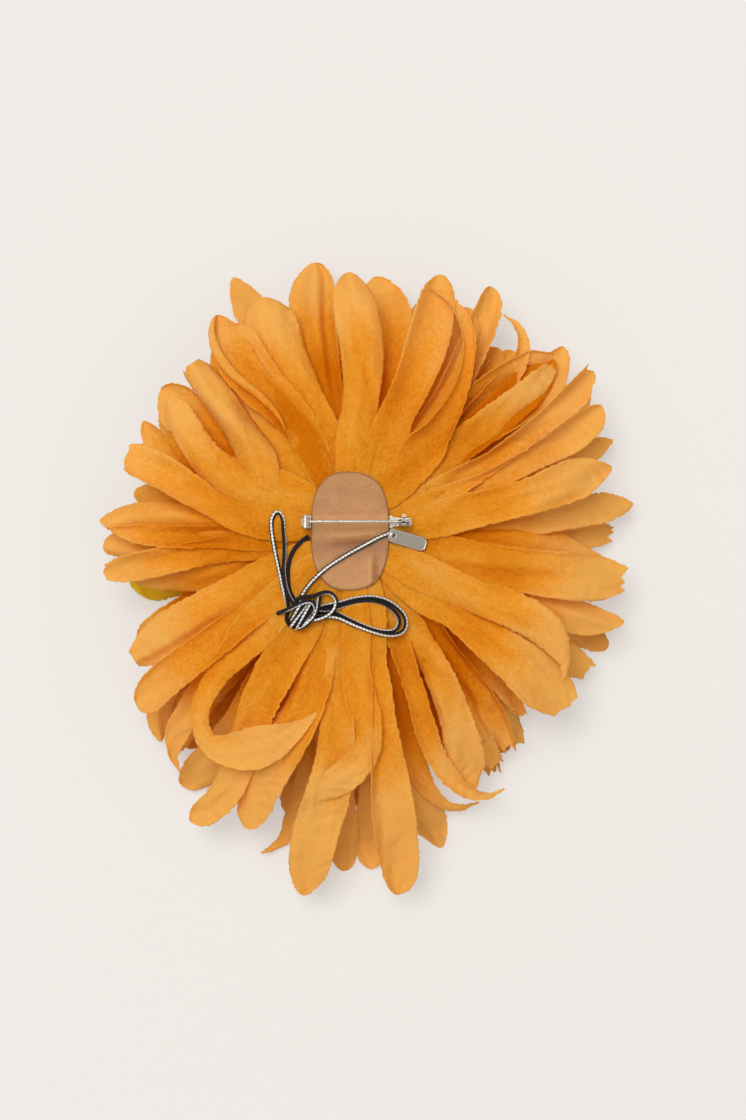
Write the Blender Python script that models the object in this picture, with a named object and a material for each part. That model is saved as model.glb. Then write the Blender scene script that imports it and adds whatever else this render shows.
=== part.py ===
"""Fabric flower brooch, lying face down with its pin side up.

Metres, +Z up. Sizes and routes are stated from the hub, the centre of the leather patch's outer face on the
flower's own axis, with +Y along the patch's length and +X along the pin from its hinge to its catch.
The petals hang below the patch, and the front ones rest on a surface REST_HEIGHT under it.
The whole part is then moved by HUB, so that its origin is the bottom centre of its box without the cord.
"""

import math

import bpy
from mathutils import Matrix, Vector

MM = 0.001
GAP = 0.3 * MM  # between pieces that touch

# Flower
REST_HEIGHT = 45 * MM  # from the patch's face down to the surface that the petals rest on
HUB = Vector((-7.2, 16.7, 45.0)) * MM
FABRIC = 0.8 * MM  # a petal's thickness with the air in its weave and curl
HUB_FLAT = 12 * MM  # the petals lie flat out to this radius, and then fall
FALL_RADIUS = 90 * MM  # each layer's fall is stated at this radius
FALL_POWER = 1.7
BASE_ANGLE = 52  # the most degrees that a spray's joined base spans
BASE_ROWS = 2
LOBE_STEPS = (0.1, 0.32, 0.55, 0.75, 0.91, 1.0)  # rows of a petal, from the split to the tip
LOBE_COLUMNS = 2
TIP_START = 0.62  # a petal narrows to its tip over the rest of its length
TIP_ROUND = 0.94  # how far it narrows

# Back
PATCH_HALF = (13.8 * MM, 20.8 * MM)
PATCH_POWER = 2.6  # of the superellipse that outlines it
LEATHER = 0.8 * MM
PATCH_THICKNESS = 1.3 * MM
RIDGE_HEIGHT = 0.4 * MM  # how far the bar lifts the leather
RIDGE_SLOPE = 0.8 * MM

# Brooch pin
PIN_Y = 3.2 * MM
PIN_Z = 5.4 * MM  # the stem's axis over the patch's face
HINGE_X = -15.35 * MM
STEM_RADIUS = 0.45 * MM
STEM_TIP_X = 21.2 * MM
STEM_POINT = 4.0 * MM
BAR_X = (-16.9 * MM, 21.6 * MM)
BAR_WIDTH = 4.2 * MM
NOSE_X = (14.6 * MM, 15.4 * MM)  # where the bar narrows beyond the leather, under the catch
NOSE_WIDTH = 3.0 * MM
BAR_THICKNESS = 0.8 * MM
BAR_TOP = RIDGE_HEIGHT - LEATHER - GAP
EYE_WIDTH = 2.0 * MM
EYE_RADIUS = 1.2 * MM
EYE_BORE = 0.57 * MM
EAR_THICKNESS = 0.8 * MM
EAR_GAP = 0.1 * MM
RIVET_RADIUS = 0.5 * MM
CATCH_CHEEKS = ((16.9 * MM, 17.9 * MM), (19.7 * MM, 20.7 * MM))
CHEEK_RADII = (1.07 * MM, 1.65 * MM)
ROLLER_RADII = (0.66 * MM, 1.0 * MM)
ROLLER_X = (16.7 * MM, 20.9 * MM)
FLANGE_X = (18.2 * MM, 19.4 * MM)
SLOT_HALF = 0.58 * MM
LEVER_REACH = 2.6 * MM

# Cord and tag
CORD_RADIUS = 0.75 * MM
CORD_STEP = 3.6 * MM  # between the points of a cord's tube
KNOT_CENTRE = Vector((-16.0, -28.7, -0.1)) * MM
KNOT_HALF = (5.6 * MM, 5.0 * MM, 2.7 * MM)  # along its longer side, across it and up
KNOT_TURN = -40  # degrees from +X to its longer side
TAG_LENGTH = 14.4 * MM
TAG_WIDTH = 4.9 * MM
TAG_THICKNESS = 0.8 * MM
TAG_HOLE = Vector((15.1, -1.6, 1.9)) * MM
TAG_HOLE_RADIUS = 0.75 * MM
TAG_HOLE_INSET = 1.8 * MM
TAG_TURN = -16.6  # degrees from +X
TAG_TILT = 18  # degrees that its far end hangs down
THREAD_RADIUS = 0.3 * MM

# Heart of the flower, on the hidden front
CORE_RADIUS = 5.0 * MM
CORE_FLANGE = 9.0 * MM
SEED_RADIUS = 8.0 * MM
STAMEN_COUNT = 16

# Each spray is one piece of fabric cut into petals: (where they part, then each petal's heading in degrees,
# its reach from the hub and its width, in mm), turning anticlockwise.
LAYERS = {
    "rear": {
        "top": -1.8,
        "fall": 13,
        "sprays": [
            (38, (11, 95.5, 16), (25, 97.5, 15)),
            (40, (71, 97, 16), (92, 89.5, 15)),
            (31, (133, 82.5, 14), (146, 83.5, 15), (161, 84.5, 13)),
            (38, (211, 89.5, 17), (223, 96.5, 15)),
            (44, (262.5, 130.5, 17), (277.5, 130.5, 16)),
            (35, (319, 95.5, 17), (331, 93.5, 14)),
        ],
    },
    "second": {
        "top": -3.4,
        "fall": 18,
        "sprays": [
            (30, (32, 104, 13), (42, 98.5, 15), (58, 100, 14)),
            (30, (111, 87, 15), (123, 89.5, 15)),
            (34, (176.5, 88, 15), (188, 88, 15)),
            (42, (239, 107, 15), (251, 112.5, 15)),
            (36, (293, 100.5, 14), (304, 108, 12)),
            (34, (340, 100.5, 15), (352, 99.5, 17)),
        ],
    },
    "third": {
        "top": -5.0,
        "fall": 25,
        "sprays": [
            (34, (5, 102.5, 15), (18.5, 96, 14)),
            (34, (50.5, 91, 14), (64.5, 95.5, 14)),
            (34, (84, 91, 15), (98, 97, 14)),
            (34, (141, 82.5, 14), (154, 83.5, 14)),
            (34, (183, 87, 14), (218.5, 99.5, 13)),
            (40, (231.5, 104, 13), (245.5, 104, 13)),
            (42, (270, 122, 14), (285, 118, 15)),
            (34, (312, 98, 14), (327, 100.5, 14)),
        ],
    },
    "fourth": {
        "top": -6.6,
        "fall": 34,
        "sprays": [
            (32, (29.5, 96.5, 14), (43.5, 92, 14)),
            (32, (74.5, 88, 14), (90, 85.5, 14)),
            (32, (103, 95, 13), (114, 101, 12)),
            (32, (158, 86, 13), (169, 79, 14)),
            (32, (206.5, 87.5, 14), (223.5, 89.5, 14)),
            (34, (256.5, 102.5, 14), (274, 100, 14)),
            (32, (301, 96, 14), (316, 93.5, 14)),
            (32, (341, 96, 14), (356.5, 94, 14)),
        ],
    },
    "golden": {
        "top": -8.2,
        "fall": 77,
        "sprays": [
            (26, (10.5, 69, 19), (34.5, 67, 19)),
            (26, (74.5, 68.5, 19), (98.5, 69.5, 19)),
            (26, (136, 70, 19), (159.5, 70.5, 19)),
            (26, (195.5, 79, 18), (219.5, 71, 19)),
            (26, (257.5, 70, 19), (282, 68.5, 19)),
            (26, (318, 70.5, 19), (342.5, 67.5, 19)),
        ],
    },
}

# Routes of the cord, in mm, chosen along its way from the patch into the knot and round each loop.
CORD_ROUTES = {
    "cord_left_lead": [
        (-14.9, -2.1, -0.8), (-17.3, -3.9, -0.85), (-19.6, -6.6, -0.95), (-21.1, -10.0, -1.1),
        (-21.7, -14.0, -1.3), (-21.6, -18.0, -1.45), (-20.9, -21.6, -1.5), (-19.0, -25.0, -1.3),
    ],
    "cord_left_loop": [
        (-19.6, -26.6, -1.6), (-22.3, -23.6, -1.7), (-23.7, -19.0, -1.6), (-24.9, -13.4, -1.5),
        (-26.1, -8.0, -1.4), (-27.1, -2.6, -1.4), (-27.4, 1.6, -1.4), (-26.9, 5.0, -1.4), (-25.4, 6.6, -1.3),
        (-24.0, 5.0, -1.2), (-23.3, 0.8, -1.1), (-22.9, -4.6, -0.8), (-23.0, -9.4, -0.1), (-23.2, -14.0, 0.1),
        (-22.7, -18.4, 0.1), (-21.5, -22.4, 0.2), (-19.0, -26.0, 0.4),
    ],
    "cord_right_lead": [
        (15.75, -0.15, -1.4), (15.6, -0.2, -0.5), (15.1, -0.35, 0.35), (14.2, -0.65, 0.9), (12.9, -1.1, 1.1),
        (10.4, -2.1, 1.1), (6.0, -4.4, 1.1), (1.4, -6.9, 1.1), (-3.2, -9.6, 1.1), (-8.0, -12.8, 1.1),
        (-11.6, -15.9, 0.9), (-14.3, -18.8, 0.4), (-16.6, -22.0, 0.2), (-17.6, -25.0, 0.4),
    ],
    "cord_inner_loop": [
        (-14.0, -28.4, 0.1), (-9.6, -27.8, 0.0), (-5.2, -27.2, -0.3), (-0.8, -26.1, -1.1), (4.0, -25.1, -1.3),
        (8.4, -25.2, -1.4), (12.2, -26.4, -1.6), (14.9, -28.4, -1.9), (16.7, -31.2, -2.3), (15.6, -34.0, -2.5),
        (12.0, -34.6, -2.5), (7.6, -33.7, -2.3), (3.4, -32.0, -2.0), (-1.0, -30.1, -1.7), (-5.4, -28.7, -1.7),
        (-10.2, -28.6, -1.7), (-14.0, -28.6, -1.7),
    ],
    "cord_outer_loop": [
        (-14.0, -26.6, -1.4), (-9.8, -26.2, -1.5), (-5.2, -25.5, -1.4), (-0.8, -24.3, -1.2), (4.0, -23.3, -1.2),
        (8.8, -23.3, -1.3), (13.6, -24.8, -1.5), (17.6, -27.8, -1.9), (19.6, -31.4, -2.3), (18.6, -35.0, -2.2),
        (14.7, -36.4, -1.4), (10.0, -35.8, -1.0), (5.4, -34.4, -0.7), (0.4, -32.4, -0.4), (-4.6, -30.3, -0.2),
        (-9.6, -30.2, -0.1), (-14.0, -30.4, 0.1),
    ],
    "cord_small_loop": [
        (-14.4, -26.2, 1.6), (-11.6, -23.4, 1.7), (-8.6, -21.8, 1.7), (-6.2, -21.9, 1.7), (-4.9, -24.2, 1.8),
        (-5.6, -27.0, 1.9), (-7.8, -29.2, 1.9), (-11.0, -30.8, 1.7), (-13.6, -31.2, 1.6),
    ],
    "cord_tail": [
        (-17.0, -26.6, 1.3), (-20.2, -27.0, 1.0), (-22.8, -27.9, -0.4), (-25.2, -28.8, -1.5),
    ],
}

MATERIALS = {
    "orange_fabric": ((0.86, 0.42, 0.06, 1), 0.75, 0),
    "golden_fabric": ((0.85, 0.55, 0.05, 1), 0.7, 0),
    "leather": ((0.50, 0.29, 0.17, 1), 0.5, 0),
    "nickel": ((0.72, 0.70, 0.66, 1), 0.25, 1),
    "tag_metal": ((0.45, 0.44, 0.40, 1), 0.35, 1),
    "cord": ((0.05, 0.045, 0.04, 1), 0.5, 0),
    "thread": ((0.12, 0.06, 0.03, 1), 0.8, 0),
    "core_plastic": ((0.25, 0.30, 0.10, 1), 0.6, 0),
    "stamen": ((0.80, 0.55, 0.10, 1), 0.7, 0),
}


def clear_scene():
    for obj in list(bpy.data.objects):
        bpy.data.objects.remove(obj, do_unlink=True)


def make_material(name):
    colour, roughness, metallic = MATERIALS[name]
    material = bpy.data.materials.new(name)
    material.use_nodes = True
    shader = material.node_tree.nodes["Principled BSDF"]
    shader.inputs["Base Color"].default_value = colour
    shader.inputs["Roughness"].default_value = roughness
    shader.inputs["Metallic"].default_value = metallic
    return material


def add_object(name, data, material):
    obj = bpy.data.objects.new(name, data)
    bpy.context.scene.collection.objects.link(obj)
    data.materials.append(materials[material])
    return obj


def add_mesh(name, points, faces, material):
    mesh = bpy.data.meshes.new(name)
    mesh.from_pydata(points, [], faces)
    mesh.validate()
    return add_object(name, mesh, material)


def smooth_step(value):
    value = min(1.0, max(0.0, value))
    return value * value * (3 - 2 * value)


def prism(name, outline, start, end, material, axes=(0, 1, 2)):
    """An outline carried from start to end. axes says which of X, Y and Z its sides and its length lie on."""
    count = len(outline)
    points = []
    for level in (start, end):
        for side in outline:
            point = [0, 0, 0]
            point[axes[0]], point[axes[1]], point[axes[2]] = side[0], side[1], level
            points.append(point)
    faces = [[i, (i + 1) % count, count + (i + 1) % count, count + i] for i in range(count)]
    faces += [list(range(count))[::-1], list(range(count, 2 * count))]
    even = axes in ((0, 1, 2), (1, 2, 0), (2, 0, 1))
    area = sum(a[0] * b[1] - b[0] * a[1] for a, b in zip(outline, outline[1:] + outline[:1]))
    if even != (area > 0):
        faces = [face[::-1] for face in faces]
    return add_mesh(name, points, faces, material)


def turned(name, profile, material, segments=24, axis="Z"):
    """A profile of (radius, height) from one end of the axis to the other, turned round it."""
    points, rings = [], []
    for radius, height in profile:
        if radius < 1e-7:
            rings.append([len(points)])
            points.append((0, 0, height))
            continue
        rings.append(list(range(len(points), len(points) + segments)))
        for i in range(segments):
            angle = 2 * math.pi * i / segments
            points.append((radius * math.cos(angle), radius * math.sin(angle), height))
    faces = []
    for low, high in zip(rings, rings[1:]):
        for i in range(segments):
            j = (i + 1) % segments
            corners = [low[i % len(low)], low[j % len(low)], high[j % len(high)], high[i % len(high)]]
            faces.append(list(dict.fromkeys(corners)))
    for ring, reverse in ((rings[0], True), (rings[-1], False)):
        if len(ring) > 1:
            faces.append(ring[::-1] if reverse else ring)
    obj = add_mesh(name, points, faces, material)
    turn = {
        "X": Matrix.Rotation(math.pi / 2, 4, "Y"),
        "Y": Matrix.Rotation(-math.pi / 2, 4, "X"),
        "Z": Matrix.Identity(4),
    }
    obj.data.transform(turn[axis])
    return obj


def combine(obj, other, operation):
    """Joins other to obj, or cuts it from obj, and leaves other out of the part."""
    modifier = obj.modifiers.new(operation.lower(), "BOOLEAN")
    modifier.operation = operation
    modifier.solver = "EXACT"
    modifier.object = other
    other.hide_render = True
    other.display_type = "WIRE"
    return obj


def arc(centre, radius, start, end, steps):
    """Points along an arc, from one angle to the other in degrees."""
    angles = [math.radians(start + (end - start) * i / steps) for i in range(steps + 1)]
    return [(centre[0] + radius * math.cos(a), centre[1] + radius * math.sin(a)) for a in angles]


def superellipse(half_width, half_length, power, steps):
    points = []
    for i in range(steps):
        angle = 2 * math.pi * i / steps
        c, s = math.cos(angle), math.sin(angle)
        points.append((
            half_width * math.copysign(abs(c) ** (2 / power), c),
            half_length * math.copysign(abs(s) ** (2 / power), s),
        ))
    return points


def layer_height(layer, radius):
    """The height of a layer's upper side: flat at the hub, then falling, and level again on the surface."""
    share = max(0.0, radius - HUB_FLAT) / (FALL_RADIUS - HUB_FLAT)
    height = (layer["top"] - layer["fall"] * share**FALL_POWER) * MM
    return max(height, FABRIC - REST_HEIGHT)


def sectors_of(layer):
    """For each spray, the angles in degrees that bound its petals: halfway to the petals on either side."""
    headings = [[petal[0] for petal in spray[1:]] for spray in layer["sprays"]]
    sectors = []
    for i, own in enumerate(headings):
        before = headings[i - 1][-1] - (360 if i == 0 else 0)
        after = headings[(i + 1) % len(headings)][0] + (360 if i == len(headings) - 1 else 0)
        line = [before] + own + [after]
        sectors.append([(a + b) / 2 for a, b in zip(line, line[1:])])
    return sectors


def spray_grids(spray, bounds):
    """Each petal of a spray as rows of points in plan, from the hub to the tip, in metres."""
    part_at = spray[0] * MM
    petals = spray[1:]
    count = len(petals)
    heading = sum(petal[0] for petal in petals) / count
    low = max(bounds[0], heading - BASE_ANGLE / 2)
    high = min(bounds[-1], heading + BASE_ANGLE / 2)
    inner = CORE_RADIUS + GAP
    grids = []
    for i, (angle, reach, width) in enumerate(petals):
        base = [low + (high - low) * (i + side) / count for side in (0, 1)]
        rows = []
        for k in range(BASE_ROWS + 1):
            radius = inner + (part_at - inner) * k / BASE_ROWS
            room = [math.degrees(GAP / 2 / radius) * (base[side] == edge)
                    for side, edge in ((0, low), (1, high))]
            rows.append((radius, base[0] + room[0], base[1] - room[1]))
        for step in LOBE_STEPS:
            radius = part_at + (reach * MM - part_at) * step
            centre = sum(base) / 2 + (angle - sum(base) / 2) * smooth_step(2 * step)
            half = petal_half_width(step, math.radians(base[1] - base[0]) / 2 * part_at, width / 2 * MM)
            spread, room = math.degrees(half / radius), math.degrees(GAP / 2 / radius)
            near, far = max(centre - spread, bounds[i] + room), min(centre + spread, bounds[i + 1] - room)
            rows.append((radius, near, far))
        grids.append([row_points(*row) for row in rows])
    return grids


def petal_half_width(step, at_split, full):
    """A petal's half width, step of the way from the split to the tip."""
    taper = max(0.0, (step - TIP_START) / (1 - TIP_START))
    return (at_split + (full - at_split) * smooth_step(2 * step)) * math.sqrt(1 - TIP_ROUND * taper**2.2)


def row_points(radius, start, end):
    angles = [math.radians(start + (end - start) * c / LOBE_COLUMNS) for c in range(LOBE_COLUMNS + 1)]
    return [Vector((radius * math.cos(angle), radius * math.sin(angle))) for angle in angles]


def petal_spray(name, layer, spray, bounds, material):
    """A sheet that follows its layer's height, closed by a copy of itself one thickness lower."""
    index, tops, faces = {}, [], []

    def corner(point):
        key = (round(point.x, 7), round(point.y, 7))
        if key not in index:
            index[key] = len(tops)
            tops.append((point.x, point.y, layer_height(layer, point.length)))
        return index[key]

    for grid in spray_grids(spray, bounds):
        ids = [[corner(point) for point in row] for row in grid]
        for low, high in zip(ids, ids[1:]):
            for c in range(LOBE_COLUMNS):
                faces.append(list(dict.fromkeys([low[c], high[c], high[c + 1], low[c + 1]])))
    edges = [(a, b) for face in faces for a, b in zip(face, face[1:] + face[:1])]
    rim = [(a, b) for a, b in edges if (b, a) not in set(edges)]
    count = len(tops)
    bottoms = [(x, y, z - FABRIC) for x, y, z in tops]
    walls = [[b, a, a + count, b + count] for a, b in rim]
    unders = [[i + count for i in reversed(face)] for face in faces]
    return add_mesh(name, tops + bottoms, faces + walls + unders, material)


def make_petals():
    for layer_name, layer in LAYERS.items():
        material = "golden_fabric" if layer_name == "golden" else "orange_fabric"
        for number, (spray, bounds) in enumerate(zip(layer["sprays"], sectors_of(layer)), 1):
            petal_spray(f"petals_{layer_name}_{number}", layer, spray, bounds, material)


def make_back():
    """The leather patch. A ridge crosses it where the pin's bar lies under it, in a channel."""
    outline = superellipse(*PATCH_HALF, PATCH_POWER, 64)
    patch = prism("leather_patch", outline, -PATCH_THICKNESS, RIDGE_HEIGHT, "leather")
    bevel = patch.modifiers.new("rim", "BEVEL")
    bevel.width = 0.3 * MM
    bevel.segments = 2
    bevel.limit_method = "ANGLE"
    bevel.angle_limit = math.radians(50)
    ends = (-2 * PATCH_HALF[0], 2 * PATCH_HALF[0])
    half = BAR_WIDTH / 2 + GAP
    for side, name in ((-1, "lower_panel"), (1, "upper_panel")):
        foot, crest = PIN_Y + side * (half + RIDGE_SLOPE), PIN_Y + side * half
        beyond = side * 2 * PATCH_HALF[1]
        above = [(foot, 0), (beyond, 0), (beyond, 5 * MM), (crest, 5 * MM), (crest, RIDGE_HEIGHT)]
        combine(patch, prism(name, above, *ends, "leather", (1, 2, 0)), "DIFFERENCE")
    low, high = PIN_Y - half, PIN_Y + half
    roof = RIDGE_HEIGHT - LEATHER
    channel = [(low, -5 * MM), (high, -5 * MM), (high, roof), (low, roof)]
    combine(patch, prism("bar_channel", channel, *ends, "leather", (1, 2, 0)), "DIFFERENCE")


def make_bar():
    """The bar with the hinge's two ears and the catch's two open cheeks standing on it."""
    low, high = PIN_Y - BAR_WIDTH / 2, PIN_Y + BAR_WIDTH / 2
    nose_low, nose_high = PIN_Y - NOSE_WIDTH / 2, PIN_Y + NOSE_WIDTH / 2
    corner, nose_corner = BAR_WIDTH * 0.3, NOSE_WIDTH * 0.3
    outline = (
        arc((BAR_X[1] - nose_corner, nose_high - nose_corner), nose_corner, 0, 90, 4)
        + [(NOSE_X[1], nose_high), (NOSE_X[0], high)]
        + arc((BAR_X[0] + corner, high - corner), corner, 90, 180, 4)
        + arc((BAR_X[0] + corner, low + corner), corner, 180, 270, 4)
        + [(NOSE_X[0], low), (NOSE_X[1], nose_low)]
        + arc((BAR_X[1] - nose_corner, nose_low + nose_corner), nose_corner, 270, 360, 4)
    )
    bar = prism("pin_bar", outline, BAR_TOP - BAR_THICKNESS, BAR_TOP, "nickel")
    foot = BAR_TOP - BAR_THICKNESS / 2
    ear = arc((HINGE_X, PIN_Z), EYE_RADIUS, 0, 180, 10)
    ear += [(HINGE_X - EYE_RADIUS, foot), (HINGE_X + EYE_RADIUS, foot)]
    for side, name in ((-1, "ear_near"), (1, "ear_far")):
        inner = PIN_Y + side * (EYE_WIDTH / 2 + EAR_GAP)
        reach = sorted((inner, inner + side * EAR_THICKNESS))
        combine(bar, prism(name, ear, *reach, "nickel", (0, 2, 1)), "UNION")
    hole = turned("ear_holes", [(EYE_BORE, -5 * MM), (EYE_BORE, 5 * MM)], "nickel", 16, "Y")
    hole.data.transform(Matrix.Translation((HINGE_X, PIN_Y, PIN_Z)))
    combine(bar, hole, "DIFFERENCE")
    for number, (start, end) in enumerate(CATCH_CHEEKS, 1):
        combine(bar, prism(f"cheek_{number}", cheek_outline(foot), start, end, "nickel", (1, 2, 0)), "UNION")
    return bar


def cheek_outline(foot):
    """An open ring round the stem's axis with its mouth up, on a post that reaches down to the bar."""
    centre = (PIN_Y, PIN_Z)
    inner, outer = CHEEK_RADII
    mouth = math.degrees(math.asin((SLOT_HALF + 0.15 * MM) / inner))
    post = 1.1 * MM
    meet = math.degrees(math.acos(post / outer))
    return (
        arc(centre, inner, 90 - mouth, mouth - 270, 14)
        + arc(centre, outer, 90 + mouth, 180 + meet, 6)
        + [(PIN_Y - post, foot), (PIN_Y + post, foot)]
        + arc(centre, outer, -meet, 90 - mouth, 6)
    )


def make_rivet():
    """The rivet through the ears and the stem's eye, with a head outside each ear."""
    head_at = EYE_WIDTH / 2 + EAR_GAP + EAR_THICKNESS + EAR_GAP
    head = 0.45 * MM
    profile = [
        (0, -head_at - head), (0.7 * MM, -head_at - head), (0.95 * MM, -head_at - head / 2),
        (0.95 * MM, -head_at), (RIVET_RADIUS, -head_at), (RIVET_RADIUS, head_at), (0.95 * MM, head_at),
        (0.95 * MM, head_at + head / 2), (0.7 * MM, head_at + head), (0, head_at + head),
    ]
    rivet = turned("hinge_rivet", profile, "nickel", 16, "Y")
    rivet.location = (HINGE_X, PIN_Y, PIN_Z)


def make_stem():
    """The stem, a pointed wire with an eye round the rivet. Its origin is on the hinge's axis."""
    eye = turned("pin_stem", [(EYE_RADIUS, -EYE_WIDTH / 2), (EYE_RADIUS, EYE_WIDTH / 2)], "nickel", 20, "Y")
    length = STEM_TIP_X - HINGE_X
    wire = turned("stem_wire", [
        (0, 0.2 * MM), (STEM_RADIUS, 0.2 * MM), (STEM_RADIUS, length - STEM_POINT),
        (STEM_RADIUS * 0.65, length - STEM_POINT * 0.4), (0, length),
    ], "nickel", 12, "X")
    bore = turned("stem_bore", [(EYE_BORE, -EYE_WIDTH), (EYE_BORE, EYE_WIDTH)], "nickel", 16, "Y")
    combine(eye, wire, "UNION")
    combine(eye, bore, "DIFFERENCE")
    for obj in (eye, wire, bore):
        obj.location = (HINGE_X, PIN_Y, PIN_Z)


def slotted_ring(inner, outer, tab=0.0):
    """A ring round the stem's axis with a slot at its top, and a lever towards +Y if tab is given."""
    start = math.degrees(math.asin(SLOT_HALF / inner))
    end = math.degrees(math.asin(SLOT_HALF / outer))
    lever = 0.45 * MM
    side = math.degrees(math.asin(lever / outer))
    outside = arc((0, 0), outer, 90 + end, 360 - (side if tab else 0), 12)
    if tab:
        outside += [(tab, -lever), (tab, lever)] + arc((0, 0), outer, side, 90 - end, 4)
    else:
        outside += arc((0, 0), outer, 0, 90 - end, 4)[1:]
    return arc((0, 0), inner, 90 - start, start - 270, 14) + outside


def make_roller():
    """The safety roller: a slotted tube in the cheeks with a flange and a lever between them."""
    middle = (ROLLER_X[0] + ROLLER_X[1]) / 2
    tube_ends = [x - middle for x in ROLLER_X]
    flange_ends = [x - middle for x in FLANGE_X]
    roller = prism("catch_roller", slotted_ring(*ROLLER_RADII), *tube_ends, "nickel", (1, 2, 0))
    flange_ring = slotted_ring(ROLLER_RADII[0] + 0.15 * MM, CHEEK_RADII[1], LEVER_REACH)
    flange = prism("roller_flange", flange_ring, *flange_ends, "nickel", (1, 2, 0))
    combine(roller, flange, "UNION")
    for obj in (roller, flange):
        obj.location = (middle, PIN_Y, PIN_Z)


def make_tag():
    """A plain metal tag with round ends, and the thread through its hole that ties it to the petals."""
    radius = TAG_WIDTH / 2
    near, far = radius - TAG_HOLE_INSET, TAG_LENGTH - radius - TAG_HOLE_INSET
    outline = arc((far, 0), radius, -90, 90, 10) + arc((near, 0), radius, 90, 270, 10)
    tag = prism("tag", outline, -TAG_THICKNESS / 2, TAG_THICKNESS / 2, "tag_metal")
    hole = turned("tag_hole", [(TAG_HOLE_RADIUS, -TAG_WIDTH), (TAG_HOLE_RADIUS, TAG_WIDTH)], "tag_metal", 16)
    combine(tag, hole, "DIFFERENCE")
    place = (
        Matrix.Translation(TAG_HOLE) @ Matrix.Rotation(math.radians(TAG_TURN), 4, "Z")
        @ Matrix.Rotation(math.radians(TAG_TILT), 4, "Y")
    )
    for obj in (tag, hole):
        obj.matrix_world = place
    foot = layer_height(LAYERS["rear"], TAG_HOLE.xy.length) + GAP - TAG_HOLE.z
    profile = [(0, foot), (THREAD_RADIUS, foot), (THREAD_RADIUS, GAP), (0, GAP)]
    thread = turned("tag_thread", profile, "thread", 12)
    thread.location = TAG_HOLE


def tube(name, points, radius, material):
    curve = bpy.data.curves.new(name, "CURVE")
    curve.dimensions = "3D"
    curve.bevel_depth = radius
    curve.bevel_resolution = 2
    curve.use_fill_caps = True
    spline = curve.splines.new("POLY")
    spline.points.add(len(points) - 1)
    for target, point in zip(spline.points, points):
        target.co = (*point, 1)
    return add_object(name, curve, material)


def smooth_route(route):
    """Points CORD_STEP apart along the smooth curve through a route's own points."""
    ends = [2 * route[0] - route[1]] + route + [2 * route[-1] - route[-2]]
    fine = []
    for a, b, c, d in zip(ends, ends[1:], ends[2:], ends[3:]):
        for i in range(24):
            t = i / 24
            curve = (2 * a - 5 * b + 4 * c - d) * t * t + (3 * b - a - 3 * c + d) * t**3
            fine.append(0.5 * (2 * b + (c - a) * t + curve))
    fine.append(route[-1])
    fine = [point for point in fine if not in_knot(point)]
    lengths = [0.0]
    for a, b in zip(fine, fine[1:]):
        lengths.append(lengths[-1] + (b - a).length)
    count = max(3, round(lengths[-1] / CORD_STEP))
    spaced, at = [], 0
    for i in range(count + 1):
        want = lengths[-1] * i / count
        while at < len(fine) - 2 and lengths[at + 1] < want:
            at += 1
        share = (want - lengths[at]) / (lengths[at + 1] - lengths[at])
        spaced.append(fine[at].lerp(fine[at + 1], share))
    return spaced


def in_knot(point):
    """Whether a cord's middle would lie in the knot's solid or closer to it than its own radius and a gap."""
    local = Matrix.Rotation(math.radians(-KNOT_TURN), 3, "Z") @ (point - KNOT_CENTRE)
    room = CORD_RADIUS + GAP
    return sum((x / (half + room)) ** 2 for x, half in zip(local, KNOT_HALF)) < 1


def make_cord():
    """The stretches of cord outside the knot as tubes, and the knot as one solid of its outer shape."""
    for name, route in CORD_ROUTES.items():
        tube(name, smooth_route([Vector(point) * MM for point in route]), CORD_RADIUS, "cord")
    steps = 10
    profile = [(math.sin(math.pi * i / steps), -math.cos(math.pi * i / steps)) for i in range(steps + 1)]
    knot = turned("cord_knot", profile, "cord", 18, "X")
    knot.data.transform(
        Matrix.Translation(KNOT_CENTRE) @ Matrix.Rotation(math.radians(KNOT_TURN), 4, "Z")
        @ Matrix.Diagonal((*KNOT_HALF, 1))
    )


def make_heart():
    """The core that the sprays are fixed round, the seed head on its front and the crown of stamens."""
    top = LAYERS["rear"]["top"] * MM
    flange_top = LAYERS["golden"]["top"] * MM - FABRIC - 0.4 * MM
    flange_bottom = flange_top - 1.2 * MM
    turned("core", [
        (0, flange_bottom), (CORE_FLANGE, flange_bottom), (CORE_FLANGE, flange_top),
        (CORE_RADIUS, flange_top), (CORE_RADIUS, top), (0, top),
    ], "core_plastic", 28)
    seed_top = flange_bottom - GAP
    dome = arc((0, seed_top), SEED_RADIUS, -90, 0, 6)
    turned("seed_head", [(max(0, x), z) for x, z in dome] + [(0, seed_top)], "core_plastic", 24)
    stamen_crown(seed_top)


def stamen_crown(top):
    """A flared crown cut into points: each ring of the loop is the inner or the outer side at one height."""
    rings = [(8.6, 0), (10.2, 0), (14.4, -6.5), (20.5, -14.5), (19.7, -15.1), (13.4, -7.4)]
    count = 2 * STAMEN_COUNT
    points = []
    for number, (radius, drop) in enumerate(rings):
        for i in range(count):
            angle = 2 * math.pi * i / count
            notch = 0.78 if i % 2 and number in (3, 4) else 1.0
            points.append((
                radius * notch * MM * math.cos(angle), radius * notch * MM * math.sin(angle),
                top + drop * (1 if notch == 1 else 0.7) * MM,
            ))
    faces = []
    for number in range(len(rings)):
        near, far = number * count, (number + 1) % len(rings) * count
        for i in range(count):
            j = (i + 1) % count
            faces.append([near + j, near + i, far + i, far + j])
    add_mesh("stamen_crown", points, faces, "stamen")


clear_scene()
materials = {name: make_material(name) for name in MATERIALS}
make_petals()
make_back()
make_bar()
make_rivet()
make_stem()
make_roller()
make_tag()
make_cord()
make_heart()
for piece in bpy.data.objects:
    piece.location += HUB
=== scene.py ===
import math

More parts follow.
